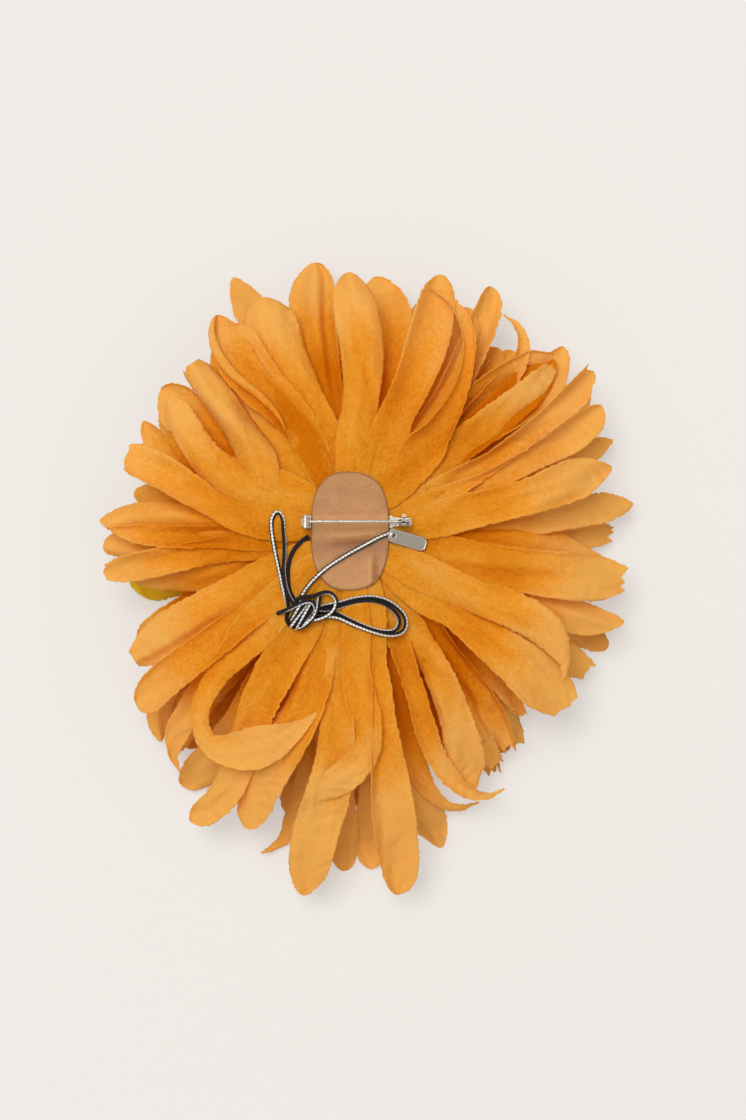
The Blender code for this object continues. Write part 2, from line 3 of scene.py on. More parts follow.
import bmesh
import bpy
import numpy as np
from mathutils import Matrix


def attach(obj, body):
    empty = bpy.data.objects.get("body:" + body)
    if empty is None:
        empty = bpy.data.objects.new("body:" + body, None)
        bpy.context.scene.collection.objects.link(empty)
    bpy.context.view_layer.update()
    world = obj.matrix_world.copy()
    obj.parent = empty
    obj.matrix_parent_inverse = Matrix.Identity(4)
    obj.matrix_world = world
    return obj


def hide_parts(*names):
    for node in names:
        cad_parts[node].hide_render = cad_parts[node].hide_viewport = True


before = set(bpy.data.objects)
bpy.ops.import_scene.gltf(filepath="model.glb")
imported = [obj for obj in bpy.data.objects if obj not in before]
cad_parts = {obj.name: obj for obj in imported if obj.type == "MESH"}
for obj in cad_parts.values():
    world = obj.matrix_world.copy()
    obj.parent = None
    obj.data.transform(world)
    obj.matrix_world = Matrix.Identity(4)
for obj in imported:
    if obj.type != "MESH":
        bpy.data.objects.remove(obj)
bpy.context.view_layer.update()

mm = 0.001
hub = np.array([-7.2, 16.7, 45.0])  # middle of the leather patch's face, in mm; every place below is given from it


def inFrame(points):
    # mm from the hub, turned into metres in the shared frame
    return (np.asarray(points, float) + hub) * mm


def smoothstep(low, high, value):
    # 0 below low, 1 above high, and an even S between them
    t = np.clip((value - low) / (high - low), 0, 1)
    return t * t * (3 - 2 * t)


def bell(value, centre, breadth):
    # 1 at the centre, falling off on both sides as a gaussian
    return np.exp(-(((value - centre) / breadth) ** 2))


def unit(vectors):
    return vectors / np.linalg.norm(vectors, axis=-1, keepdims=True)


def runOf(line):
    # how far along the line each point lies
    return np.concatenate([[0], np.cumsum(np.linalg.norm(np.diff(line, axis=0), axis=1))])


def lengthOf(line):
    return float(np.linalg.norm(np.diff(line, axis=0), axis=1).sum())


def throughPoints(points, count):
    # a natural cubic curve through the points, knotted by the root of each stretch, read at evenly spaced lengths
    points = np.asarray(points, float)
    steps = np.concatenate([[0], np.cumsum(np.sqrt(np.linalg.norm(np.diff(points, axis=0), axis=1)))])
    h = np.diff(steps)
    n = len(points)
    bands = np.eye(n)
    right = np.zeros((n, points.shape[1]))
    inner = np.arange(1, n - 1)
    bands[inner, inner - 1], bands[inner, inner], bands[inner, inner + 1] = h[:-1], 2 * (h[:-1] + h[1:]), h[1:]
    slopes = np.diff(points, axis=0) / h[:, None]
    right[1:-1] = 6 * np.diff(slopes, axis=0)
    bends = np.linalg.solve(bands, right)
    fine = np.linspace(0, steps[-1], 40 * n)
    k = np.clip(np.searchsorted(steps, fine, side="right") - 1, 0, n - 2)
    a, b = ((steps[k + 1] - fine) / h[k])[:, None], ((fine - steps[k]) / h[k])[:, None]
    curve = a * points[k] + b * points[k + 1] + (
        (a ** 3 - a) * bends[k] + (b ** 3 - b) * bends[k + 1]) * (h[k] ** 2)[:, None] / 6
    run = runOf(curve)
    wanted = np.linspace(0, run[-1], count)
    return np.stack([np.interp(wanted, run, curve[:, c]) for c in range(points.shape[1])], 1)


def newObject(name, data):
    made = bpy.data.objects.new(name, data)
    bpy.context.scene.collection.objects.link(made)
    return made


def makePiece(name, grids, material, body, around=False, thickness=0):
    # each grid is rows x columns of points in mm, with their UVs in mm and a tone; four neighbours make a face;
    # around joins the last column to the first and closes both ends with a fan
    points, faces, corners, tones, start = [], [], [], [], 0
    for grid, uv, tone in grids:
        rows, columns = grid.shape[:2]
        i, j = np.meshgrid(np.arange(rows - 1), np.arange(columns if around else columns - 1), indexing="ij")
        onward = (j + 1) % columns
        quads = np.stack([i * columns + j, (i + 1) * columns + j, (i + 1) * columns + onward, i * columns + onward], -1)
        faces += (quads.reshape(-1, 4) + start).tolist()
        corners.append(np.stack([uv[i, j], uv[i + 1, j], uv[i + 1, j + 1], uv[i, j + 1]], 2).reshape(-1, 2))
        points.append(grid.reshape(-1, 3))
        tones.append(np.broadcast_to(tone, (rows, columns)).reshape(-1))
        start += rows * columns
        if around:
            first, ring = start - rows * columns, np.arange(columns)
            for row, order in ((0, 1), (rows - 1, -1)):
                rim = row * columns + first
                fan = np.stack([rim + ring, rim + (ring + 1) % columns], 1)[:, ::order]
                middle = np.full((columns, 1), start)
                faces += np.hstack([middle, fan] if order > 0 else [fan, middle]).tolist()
                corners.append(np.repeat(uv[row, :1], 3 * columns, 0))
                points.append(grid[row].mean(0)[None])
                tones.append(np.array([np.mean(tone)]))
                start += 1
    mesh = bpy.data.meshes.new(name)
    mesh.from_pydata(inFrame(np.concatenate(points)), [], faces)
    mesh.uv_layers.new(name="weave").data.foreach_set("uv", (np.concatenate(corners) * mm).astype(np.float32).ravel())
    tone = mesh.attributes.new("tone", "FLOAT", "POINT")
    tone.data.foreach_set("value", np.concatenate(tones).astype(np.float32))
    work = bmesh.new()
    work.from_mesh(mesh)
    bmesh.ops.remove_doubles(work, verts=work.verts, dist=0.002 * mm)
    work.to_mesh(mesh)
    work.free()
    mesh.shade_smooth()
    mesh.materials.append(material)
    piece = newObject(name, mesh)
    if thickness:
        wall = piece.modifiers.new("wall", "SOLIDIFY")
        wall.thickness, wall.offset = thickness * mm, 0
    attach(piece, body)
    return piece


# camera: the lens and the film's width in mm, and where it looks straight down from
view = {"lens": 85, "sensor": 36, "from": (8.05, -10.15, 925)}


def setCamera():
    data = bpy.data.cameras.new("camera")
    data.lens, data.sensor_width, data.clip_end = view["lens"], view["sensor"], 20
    camera = newObject("camera", data)
    camera.location = inFrame(view["from"])
    bpy.context.scene.camera = camera


setCamera()
print("camera set")


class Tree:
    # a node tree, with short ways to place nodes and to feed their sockets
    def __init__(self, tree):
        self.nodes, self.links = tree.nodes, tree.links

    def feed(self, socket, value):
        # the value is another node's output, a colour or a number
        if isinstance(value, bpy.types.NodeSocket):
            self.links.new(value, socket)
        else:
            socket.default_value = (*value, 1) if socket.type == "RGBA" else value

    def add(self, kind, **values):
        node = self.nodes.new("ShaderNode" + kind)
        for key, value in values.items():
            if hasattr(node, key):
                setattr(node, key, value)
            else:
                self.feed(node.inputs[key.replace("_", " ")], value)
        return node

    def calc(self, operation, *values, clamp=False):
        node = self.add("Math", operation=operation, use_clamp=clamp)
        for socket, value in zip(node.inputs, values):
            self.feed(socket, value)
        return node.outputs[0]

    def total(self, *parts):
        # the sum of pattern * share
        whole = None
        for pattern, share in parts:
            part = self.calc("MULTIPLY", pattern, share)
            whole = part if whole is None else self.calc("ADD", whole, part)
        return whole

    def blend(self, amount, first, second):
        node = self.add("Mix", data_type="RGBA")
        for k, value in ((0, amount), (6, first), (7, second)):
            self.feed(node.inputs[k], value)
        return node.outputs[2]

    def place(self, group, **values):
        return self.add("Group", node_tree=group, **values).outputs[0]

    def bump(self, height, distance, strength):
        return self.add("Bump", Height=height, Distance=distance, Strength=strength).outputs[0]

    def where(self):
        return self.add("TexCoord").outputs["Object"]

    def dress(self, **values):
        # feeds the Principled shader: patterns through links, and what is the same all over to the sockets themselves
        for key, value in values.items():
            self.feed(self.nodes["Principled BSDF"].inputs[key.replace("_", " ")], value)

    def layOver(self, share, other):
        # mixes another shader over the Principled one
        both = self.add("MixShader", Fac=share)
        self.feed(both.inputs[1], self.nodes["Principled BSDF"].outputs[0])
        self.feed(both.inputs[2], other.outputs[0])
        self.feed(self.nodes["Material Output"].inputs["Surface"], both.outputs[0])


def newGroup(name, result, **given):
    # a node group that takes a vector and numbers, and gives one number
    group = bpy.data.node_groups.new(name, "ShaderNodeTree")
    group.interface.new_socket("Vector", in_out="INPUT", socket_type="NodeSocketVector")
    for label, value in given.items():
        group.interface.new_socket(label, in_out="INPUT", socket_type="NodeSocketFloat").default_value = value
    group.interface.new_socket(result, in_out="OUTPUT", socket_type="NodeSocketFloat")
    ends = group.nodes.new("NodeGroupInput"), group.nodes.new("NodeGroupOutput")
    return group, Tree(group), ends[0].outputs, ends[1].inputs[result]


def weaveGroup():
    # plain weave: over-and-under waves of warp and weft, threads a set number to the metre
    group, tree, given, out = newGroup("plain weave", "Height", Threads=2400.0)
    parts = tree.add("SeparateXYZ", Vector=given["Vector"]).outputs
    waves = [tree.calc("SINE", tree.calc("MULTIPLY", tree.calc("MULTIPLY", parts[k], given["Threads"]), math.pi))
             for k in (0, 1)]
    tree.feed(out, tree.calc("ADD", tree.calc("MULTIPLY", tree.calc("MULTIPLY", *waves), 0.5), 0.5))
    return group


def grainGroup():
    # soft mottling: a broad noise and a fine one, mixed in a set share
    group, tree, given, out = newGroup("grain", "Value", Broad=100.0, Fine=1500.0, Share=0.4)
    noises = [tree.add("TexNoise", Vector=given["Vector"], Scale=given[size], Detail=3.0).outputs["Fac"]
              for size in ("Broad", "Fine")]
    mix = tree.add("Mix")
    for k, value in ((0, given["Share"]), (2, noises[0]), (3, noises[1])):
        tree.feed(mix.inputs[k], value)
    tree.feed(out, mix.outputs[0])
    return group


def wearAndHighlightGroup():
    # edge wear and painted highlight: grows where the rounded normal turns away from the true one, broken up by noise
    group, tree, given, out = newGroup("edge wear", "Mask", Radius=0.0003)
    rounded = tree.add("Bevel", samples=4, Radius=given["Radius"]).outputs[0]
    facing = tree.add("VectorMath", operation="DOT_PRODUCT")
    tree.feed(facing.inputs[0], rounded)
    tree.feed(facing.inputs[1], tree.add("NewGeometry").outputs["True Normal"])
    noise = tree.add("TexNoise", Vector=given["Vector"], Scale=900.0).outputs["Fac"]
    away = tree.calc("MULTIPLY", tree.calc("SUBTRACT", 1.0, facing.outputs["Value"]), 9.0)
    tree.feed(out, tree.calc("MULTIPLY", away, noise, clamp=True))
    return group


weave, grain, wearAndHighlight = weaveGroup(), grainGroup(), wearAndHighlightGroup()


def newMaterial(name):
    material = bpy.data.materials.new(name)
    material.use_nodes = True
    return material, Tree(material.node_tree)


# the deep end of each ramp is the colour of painted shade, and the pale end that of painted glow at tips and edges
fabricLook = {  # the shades of the cloth, the colour of light that comes through it, and how much does
    "orange": {"deep": (0.68, 0.20, 0.0), "usual": (0.895, 0.408, 0.028), "pale": (0.95, 0.60, 0.15),
               "glow": (1.0, 0.56, 0.05), "through": 0.41},
    "golden": {"deep": (0.90, 0.55, 0.010), "usual": (0.95, 0.63, 0.018), "pale": (0.97, 0.70, 0.035),
               "glow": (1.0, 0.72, 0.04), "through": 0.22},
}


def fabricMaterial(kind):
    # the tone attribute, with the petal's own tone and its painted light and shade, shifted by mottling, streaks
    # along the petal, speckle and threads, picks the shade; the patterns' scales are in waves to the metre
    look = fabricLook[kind]
    material, tree = newMaterial(kind + " taffeta")
    uv, where = tree.add("UVMap", uv_map="weave").outputs[0], tree.where()
    mottle = tree.place(grain, Vector=where, Broad=60.0, Fine=300.0, Share=0.4)
    speckle = tree.place(grain, Vector=uv, Broad=800.0, Fine=1700.0, Share=0.6)
    threads = tree.place(weave, Vector=uv, Threads=3200.0)
    drawn = tree.add("Mapping", Vector=uv, Scale=(110.0, 260.0, 1.0)).outputs[0]
    streaks = tree.add("TexNoise", Vector=drawn, Scale=4.0, Detail=4.0).outputs["Fac"]
    crumple = tree.add("TexNoise", Vector=where, Scale=210.0, Detail=5.0, Roughness=0.62, Distortion=0.5).outputs[0]
    amount = tree.add("Attribute", attribute_name="tone").outputs["Fac"]
    for pattern, share in ((mottle, 0.7), (streaks, 0.45), (speckle, 1.3), (threads, 0.2)):
        shift = tree.calc("MULTIPLY", tree.calc("SUBTRACT", pattern, 0.5), share)
        amount = tree.calc("ADD", amount, shift, clamp=True)
    ramp = tree.add("ValToRGB", Fac=amount)
    stops = ramp.color_ramp.elements
    stops.new(0.5)
    for stop, shade in zip(stops, ("deep", "usual", "pale")):
        stop.color = (*look[shade], 1)
    height = tree.total((threads, 0.16), (streaks, 0.22), (crumple, 1.5), (speckle, 0.35))
    normal = tree.bump(height, 0.0006, 0.8)
    tree.dress(Base_Color=ramp.outputs[0], Normal=normal, Roughness=0.62, Specular_IOR_Level=0.03, Sheen_Weight=0.05,
               Sheen_Roughness=0.4, Sheen_Tint=(1.0, 0.55, 0.2))
    tree.layOver(look["through"], tree.add("BsdfTranslucent", Color=look["glow"], Normal=normal))
    return material


cordLook = {"black": (0.012, 0.011, 0.012), "silver": (0.93, 0.91, 0.88), "strip": 0.085}  # strip: half its turns


def cordMaterial():
    # black braid with a silver strip down one side; U counts turns round the cord and V runs along it in mm
    material, tree = newMaterial("braided cord")
    parts = tree.add("SeparateXYZ", Vector=tree.add("UVMap", uv_map="weave").outputs[0]).outputs
    along, turn = (tree.calc("MULTIPLY", parts[k], 1 / mm) for k in (1, 0))
    inTurn = tree.calc("FRACT", turn)
    band = tree.calc("LESS_THAN", tree.calc("ABSOLUTE", tree.calc("SUBTRACT", inTurn, 0.5)), cordLook["strip"])
    slant = tree.calc("FRACT", tree.total((along, 0.78), (inTurn, 1.9)))
    strip = tree.calc("MULTIPLY", band, tree.calc("GREATER_THAN", slant, 0.16))
    braid = [tree.calc("SINE", tree.calc("MULTIPLY", tree.total((along, 1.5), (inTurn, side * 4.0)), 2 * math.pi))
             for side in (1, -1)]
    height = tree.calc("ADD", tree.calc("MAXIMUM", *braid), tree.calc("MULTIPLY", strip, 0.8))
    tree.dress(Base_Color=tree.blend(strip, cordLook["black"], cordLook["silver"]), Specular_IOR_Level=0.22,
               Metallic=tree.calc("MULTIPLY", strip, 0.4), Normal=tree.bump(height, 0.00012, 0.8),
               Roughness=tree.calc("SUBTRACT", 0.62, tree.calc("MULTIPLY", strip, 0.3)))
    return material


def metalMaterial(name, colour, wornAndHighlit, roughness, scratch):
    # a fine grain shifts colour and roughness; the edges are paler, as wear and as a painted highlight along the rims
    material, tree = newMaterial(name)
    where = tree.where()
    fine = tree.place(grain, Vector=where, Broad=350.0, Fine=2600.0, Share=scratch)
    edge = tree.place(wearAndHighlight, Vector=where, Radius=0.00025)
    tint = tree.blend(fine, tuple(0.82 * c for c in colour), colour)
    tree.dress(Base_Color=tree.blend(edge, tint, wornAndHighlit), Metallic=1, Normal=tree.bump(fine, 0.00004, 0.4),
               Roughness=tree.calc("ADD", roughness - 0.06, tree.calc("MULTIPLY", fine, 0.14)))
    return material


def leatherMaterial(dark, light):
    # mottling and the patch's tone, which carries painted light and shade, pick the colour; small rounded cells make
    # the grain
    material, tree = newMaterial("tan leather")
    where = tree.where()
    mottle = tree.place(grain, Vector=where, Broad=130.0, Fine=900.0, Share=0.35)
    cells = tree.add("TexVoronoi", feature="SMOOTH_F1", Vector=where, Scale=1900.0).outputs["Distance"]
    tone = tree.add("Attribute", attribute_name="tone").outputs["Fac"]
    shift = tree.calc("MULTIPLY", tree.calc("SUBTRACT", tone, 0.14), 0.75)
    amount = tree.calc("ADD", tree.calc("MULTIPLY", mottle, 0.8), shift, clamp=True)
    height = tree.calc("ADD", cells, tree.calc("MULTIPLY", mottle, 1.4))
    tree.dress(Base_Color=tree.blend(amount, dark, light), Normal=tree.bump(height, 0.0003, 0.75),
               Roughness=tree.calc("ADD", 0.42, tree.calc("MULTIPLY", mottle, 0.2)))
    return material


def plainMaterial(name, low, high, roughness, depth):
    material, tree = newMaterial(name)
    mottle = tree.place(grain, Vector=tree.where(), Broad=260.0, Fine=1600.0, Share=0.5)
    tree.dress(Base_Color=tree.blend(mottle, low, high), Roughness=roughness, Normal=tree.bump(mottle, depth, 0.6))
    return material


orange, golden = fabricMaterial("orange"), fabricMaterial("golden")
cordFinish = cordMaterial()
nickel = metalMaterial("bright nickel", (0.56, 0.525, 0.47), (0.78, 0.74, 0.67), 0.17, 0.3)
# the tag's pale edge colour paints a highlight along its rim, as well as its wear
tagFinish = metalMaterial("aged tag metal", (0.37, 0.34, 0.29), (0.90, 0.86, 0.78), 0.36, 0.7)
leather = leatherMaterial((0.265, 0.102, 0.03), (0.53, 0.248, 0.08))
threadFinish = plainMaterial("brown thread", (0.05, 0.025, 0.012), (0.14, 0.07, 0.035), 0.8, 0.0001)
podFinish = plainMaterial("seed pod", (0.16, 0.20, 0.05), (0.34, 0.38, 0.13), 0.6, 0.0003)
stamenFinish = plainMaterial("stamen thread", (0.62, 0.38, 0.04), (0.85, 0.62, 0.14), 0.7, 0.0001)
print("materials made")

# cords: a doubled hanging cord whose four strands meet in one knot; mm from the hub
cords = {
    "radius": 0.75, "steps": (0.35, 1.0),  # steps: between rings, and between points of the route
    "left": [
        (-14.9, -2.1, -0.8), (-17.3, -3.9, -0.85), (-19.6, -6.6, -0.95), (-21.1, -10.0, -1.1), (-21.7, -14.0, -1.3),
        (-21.6, -18.0, -1.45), (-20.9, -21.6, -1.5), (-19.0, -25.0, -1.3), (-17.4, -27.8, -1.5), (-16.6, -30.8, -1.7),
        (-18.2, -33.3, -1.9), (-21.2, -32.8, -1.9), (-22.2, -30.0, -1.8), (-21.6, -27.0, -1.7), (-22.5, -23.4, -1.7),
        (-23.7, -19.0, -1.6), (-24.9, -13.4, -1.5), (-26.1, -8.0, -1.4), (-27.1, -2.6, -1.4), (-27.6, 1.4, -1.4),
        (-27.2, 4.6, -1.4), (-25.4, 6.6, -1.3), (-23.7, 4.8, -1.2), (-23.3, 0.8, -1.1), (-22.9, -4.6, -0.8),
        (-23.0, -9.4, -0.1), (-23.2, -14.0, 0.1), (-22.7, -18.4, 0.1), (-21.5, -22.4, 0.2), (-19.2, -26.2, 0.5),
        (-16.6, -29.0, 1.1), (-13.4, -29.6, 1.7), (-12.0, -27.2, 2.1), (-13.6, -24.8, 2.3), (-16.8, -25.2, 2.3),
        (-19.8, -26.6, 1.8), (-22.4, -27.7, 0.4), (-25.2, -28.8, -1.5)],
    "right": [
        (15.75, -0.15, -1.4), (15.6, -0.2, -0.5), (15.1, -0.35, 0.35), (14.2, -0.65, 0.9), (12.9, -1.1, 1.1),
        (10.4, -2.1, 1.1), (6.0, -4.4, 1.1), (1.4, -6.9, 1.1), (-3.2, -9.6, 1.1), (-8.0, -12.8, 1.1),
        (-11.6, -15.9, 0.9), (-14.3, -18.8, 0.4), (-16.6, -22.0, 0.2), (-17.6, -25.0, 0.3), (-17.0, -28.0, 0.0),
        (-14.8, -29.4, -0.6), (-12.2, -27.8, -1.3), (-9.0, -26.2, -1.5), (-5.2, -25.5, -1.4), (-0.8, -24.3, -1.2),
        (4.0, -23.3, -1.2), (8.8, -23.3, -1.3), (13.6, -24.8, -1.5), (17.6, -27.8, -1.9), (19.6, -31.4, -2.3),
        (18.6, -35.0, -2.2), (14.7, -36.4, -1.4), (10.0, -35.8, -1.0), (5.4, -34.4, -0.7), (0.4, -32.4, -0.4),
        (-4.6, -30.3, -0.2), (-9.6, -30.2, -0.1), (-14.0, -30.9, 0.1), (-17.4, -30.9, 0.6), (-19.0, -28.2, 1.1),
        (-17.2, -25.9, 1.1), (-13.6, -26.6, 0.5), (-9.6, -27.6, 0.0), (-5.2, -26.9, -0.5), (-0.8, -25.6, -1.6),
        (4.0, -24.6, -1.8), (8.6, -24.6, -1.9), (12.6, -25.9, -2.0), (15.7, -28.4, -2.2), (17.2, -31.4, -2.5),
        (15.9, -34.5, -2.6), (12.2, -35.2, -2.5), (7.8, -34.3, -2.1), (3.6, -32.7, -1.9), (-1.0, -30.6, -1.7),
        (-5.4, -28.7, -1.7), (-10.2, -28.6, -1.7), (-14.6, -28.8, -1.5), (-18.0, -28.2, -0.7), (-19.2, -25.4, 0.5),
        (-17.0, -23.2, 1.4), (-13.6, -22.9, 1.7), (-10.6, -22.0, 1.75), (-7.6, -21.5, 1.7), (-5.2, -23.4, 1.7),
        (-5.1, -26.2, 1.8), (-7.0, -28.8, 1.9), (-10.6, -30.6, 1.7), (-13.6, -31.2, 1.6)],
    # where the silver strip faces, in turns: (place along the cord, turn), and 0.25 is up
    "leftTwist": [(0, 0.72), (0.28, 0.74), (0.36, 0.3), (0.52, 0.24), (0.62, 0.44), (0.85, 0.46), (0.9, 0.37),
        (0.96, 0.4), (1, 0.6)],
    "rightTwist": [(0, 0.25), (0.16, 0.26), (0.22, 0.36), (0.33, 0.38), (0.38, 0.38), (0.44, 0.28), (0.52, 0.26),
        (0.6, 0.06), (0.68, 0.0), (0.72, 0.12), (0.8, 0.06), (0.86, 0.0), (0.9, -0.12), (0.94, 0.14), (0.97, 0.27),
        (1, 0.3)],
}


def tubeGrid(path, radius, sides, facing=((0, 0.25), (1, 0.25)), guide=(0, 0, 1)):
    # ring point = path point + radius * (cos a * side + sin a * up), side = tangent x guide; the ends are rounded by
    # rings that shrink as a quarter circle; U is a / turn, moved so that the strip's middle faces where it is told
    tangent = unit(np.gradient(path, axis=0))
    caps = np.sin(np.linspace(0, math.pi / 2, 5)[1:-1])
    start = path[0] - tangent[0] * radius * caps[::-1, None]
    end = path[-1] + tangent[-1] * radius * caps[:, None]
    size = radius * np.concatenate([np.sqrt(1 - caps[::-1] ** 2), np.ones(len(path)), np.sqrt(1 - caps ** 2)])
    line = np.concatenate([start, path, end])
    tangent = np.concatenate([np.repeat(tangent[:1], 3, 0), tangent, np.repeat(tangent[-1:], 3, 0)])
    side = unit(np.cross(tangent, np.asarray(guide, float)))
    up = np.cross(side, tangent)
    a = np.linspace(0, 2 * math.pi, sides, endpoint=False)[None, :, None]
    grid = line[:, None] + size[:, None, None] * (np.cos(a) * side[:, None] + np.sin(a) * up[:, None])
    run = runOf(line)
    middle = np.interp(run / run[-1], *zip(*facing))
    turn = np.linspace(0, 1, sides + 1)[None] - middle[:, None] + 0.5 + 4  # 4: whole turns that keep U above 0
    uv = np.stack([np.broadcast_to(turn, (len(line), sides + 1)), np.repeat(run[:, None], sides + 1, 1)], 2)
    return grid, uv, 0.5


def makeCords():
    made = {}
    for name in ("left", "right"):
        length = lengthOf(throughPoints(cords[name], 600))
        path, route = (throughPoints(cords[name], int(length / step)) for step in cords["steps"])
        piece = makePiece("cord" + name.capitalize(), [tubeGrid(path, cords["radius"], 16, cords[name + "Twist"])],
                          cordFinish, "flower", around=True)
        made[name] = (piece, cords[name][0], length, inFrame(route))
    knot = makeKnot()
    for name, ends in (("left", "bare"), ("right", "knot")):
        piece, start, length, route = made[name]
        print("cord", name, round(length, 1), "mm")
    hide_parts("cord_left_lead", "cord_left_loop", "cord_tail")
    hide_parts("cord_right_lead", "cord_inner_loop", "cord_outer_loop", "cord_small_loop")


knotShape = {  # a wound cord and one strand laid over it; mm, degrees and turns
    "centre": (-16.6, -29.2, 0.2), "heading": -37, "turns": 3.6, "pitch": 1.55, "across": 4.7, "height": 1.9,
    "over": [(-10.4, -22.2, 0.1), (-10.9, -24.6, 1.4), (-11.4, -27.4, 2.4), (-12.7, -30.2, 2.5), (-14.8, -32.2, 1.9),
             (-16.9, -33.7, 0.7), (-18.3, -34.0, -0.5)],
    "woundTwist": [(0, 0.0), (0.2, 0.22), (0.35, 0.03), (0.52, -0.2), (0.66, 0.1), (0.82, 0.25), (1, 0.0)],
    "overTwist": [(0, 0.1), (0.5, 0.16), (1, 0.25)],
}


def makeKnot():
    # a helix of cord wound about the knot's long axis, as an ellipse: across * cos a sideways and height * sin a up,
    # a pitch on for each turn; and one strand laid over it lengthwise
    k = knotShape
    axis = np.array([math.cos(math.radians(k["heading"])), math.sin(math.radians(k["heading"])), 0])
    sideways = np.array([-axis[1], axis[0], 0])
    a = np.linspace(0, 2 * math.pi * k["turns"], int(34 * k["turns"]))[:, None]
    squeeze = 1 - 0.22 * np.cos(a / k["turns"])
    wound = (np.array(k["centre"]) + axis * (a / (2 * math.pi) - k["turns"] / 2) * k["pitch"]
             + sideways * k["across"] * squeeze * np.cos(a + 0.6) + np.array([0, 0, 1]) * k["height"] * np.sin(a + 0.6))
    over = throughPoints(k["over"], 60)
    piece = makePiece("cordKnot", [
        tubeGrid(wound, cords["radius"], 14, k["woundTwist"], tuple(axis)),
        tubeGrid(over, cords["radius"], 14, k["overTwist"])], cordFinish, "flower", around=True)
    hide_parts("cord_knot")
    return piece


makeCords()
print("cords laid")

# petals: lengths in mm from the hub, angles in degrees
layers = {  # face columns, height at the hub, fall by the outer edge, arch of the petals, how hollow, painted shade near the core
    "rear": {"columns": 18, "top": -1.8, "fall": 13, "arch": 5.2, "bowl": 2.1, "shade": 0.0},
    "second": {"columns": 18, "top": -3.4, "fall": 18, "arch": 2.6, "bowl": 2.0, "shade": -0.18},
    "third": {"columns": 16, "top": -5.0, "fall": 25, "arch": 0.2, "bowl": 1.5, "shade": -0.5},
    "fourth": {"columns": 14, "top": -6.6, "fall": 34, "arch": -2.4, "bowl": 1.1, "shade": -0.65},
    "golden": {"columns": 14, "top": -8.2, "fall": 77, "arch": 0.0, "bowl": 1.0, "shade": -0.3},
}
petalUsual = {
    "tip": "round",
    "cup": 8.0,  # how far the section bends up over its width
    "roll": 0.0,  # how far it leans, left side up
    "left": (0, 0.8), "right": (0, 0.8),  # how far an edge curls up, and from which place across
    "crease": [],  # (place across, degrees, breadth); with none given, two light ones are drawn by chance
    "wave": 0.5,  # crumpling
    "ruffle": 0.8,  # how far the edges wander up and down
    "tone": 0.5,  # 0 deep, 1 pale; given per petal, partly its own tone and partly painted light and shade
    "jag": 0.0,  # length of a torn end
}
petalMake = {
    "thick": 0.26, "over": 0.12, "stagger": 0.4,  # the cloth, each petal over the one before, every other spray higher
    "tied": (6.5, 3.4),  # where petals are tied to the core, and how wide they are there
    "foot": 3.2,  # how much wider petals are near the core
    "rowStep": 0.66, "rows": (60, 230), "drawn": 1.18,  # rows: fewest and most; drawn: the power that closes them up
    "falls": (12, 90, 1.7),  # where layers begin to fall, where they have fallen in full, and the power
    "stiff": (18, 44), "free": (24, 52), "rise": (32, 62),  # where bends, curls and the layer's arch begin and are full
    "fray": 0.15, "wander": 0.025,  # fine and slow unevenness of the edges, the second as a share of the width
    "waves": (15, 9, 6, 4.2), "crinkle": 0.24,  # from crest to crest; height of the patches of crinkles
    "lowest": -43.9,  # the floor, with room for the cloth
    "cut": 1.35,  # the flat sheet's width for each mm of the petals' mean width, as petals taper
}
# painted light: the paler tip and far-out ends stand in for light coming through the cloth, the paler edges are a
# painted highlight, and the waves add painted light on their crests and painted shade in their hollows; only the chance
# part is the cloth's own tone
petalToneAndPaintedLight = {  # what is added to a petal's tone: all over, at its tip, by chance, at its edges, with its waves, far out
    "all": -0.16, "tip": 0.56, "chance": 0.08, "edges": 0.16, "waves": 0.05, "outer": 0.24}
# length of the closing in widths, and the two powers of its outline
tips = {"round": (0.62, 2.0, 0.5), "soft": (1.0, 1.7, 0.62), "point": (1.9, 1.5, 0.9), "blunt": (0.12, 2.0, 0.4)}


def petal(*line, **change):
    # points of the middle line from the hub outwards, as (x, y, width) or (x, y, width, lift), and what is unusual;
    # x and y are where a point seems to lie in the hub's plane, looking down from the camera's place
    return [(*point, 0)[:4] for point in line], change


def spoke(heading, reach, width):
    # a straight petal that swells from the hub outwards
    turn = math.radians(heading)
    return petal(*[(reach * share * math.cos(turn), reach * share * math.sin(turn), swell * width)
                   for share, swell in ((0.3, 0.5), (0.5, 0.68), (0.7, 0.9), (0.85, 1.0), (1.0, 0.0))])


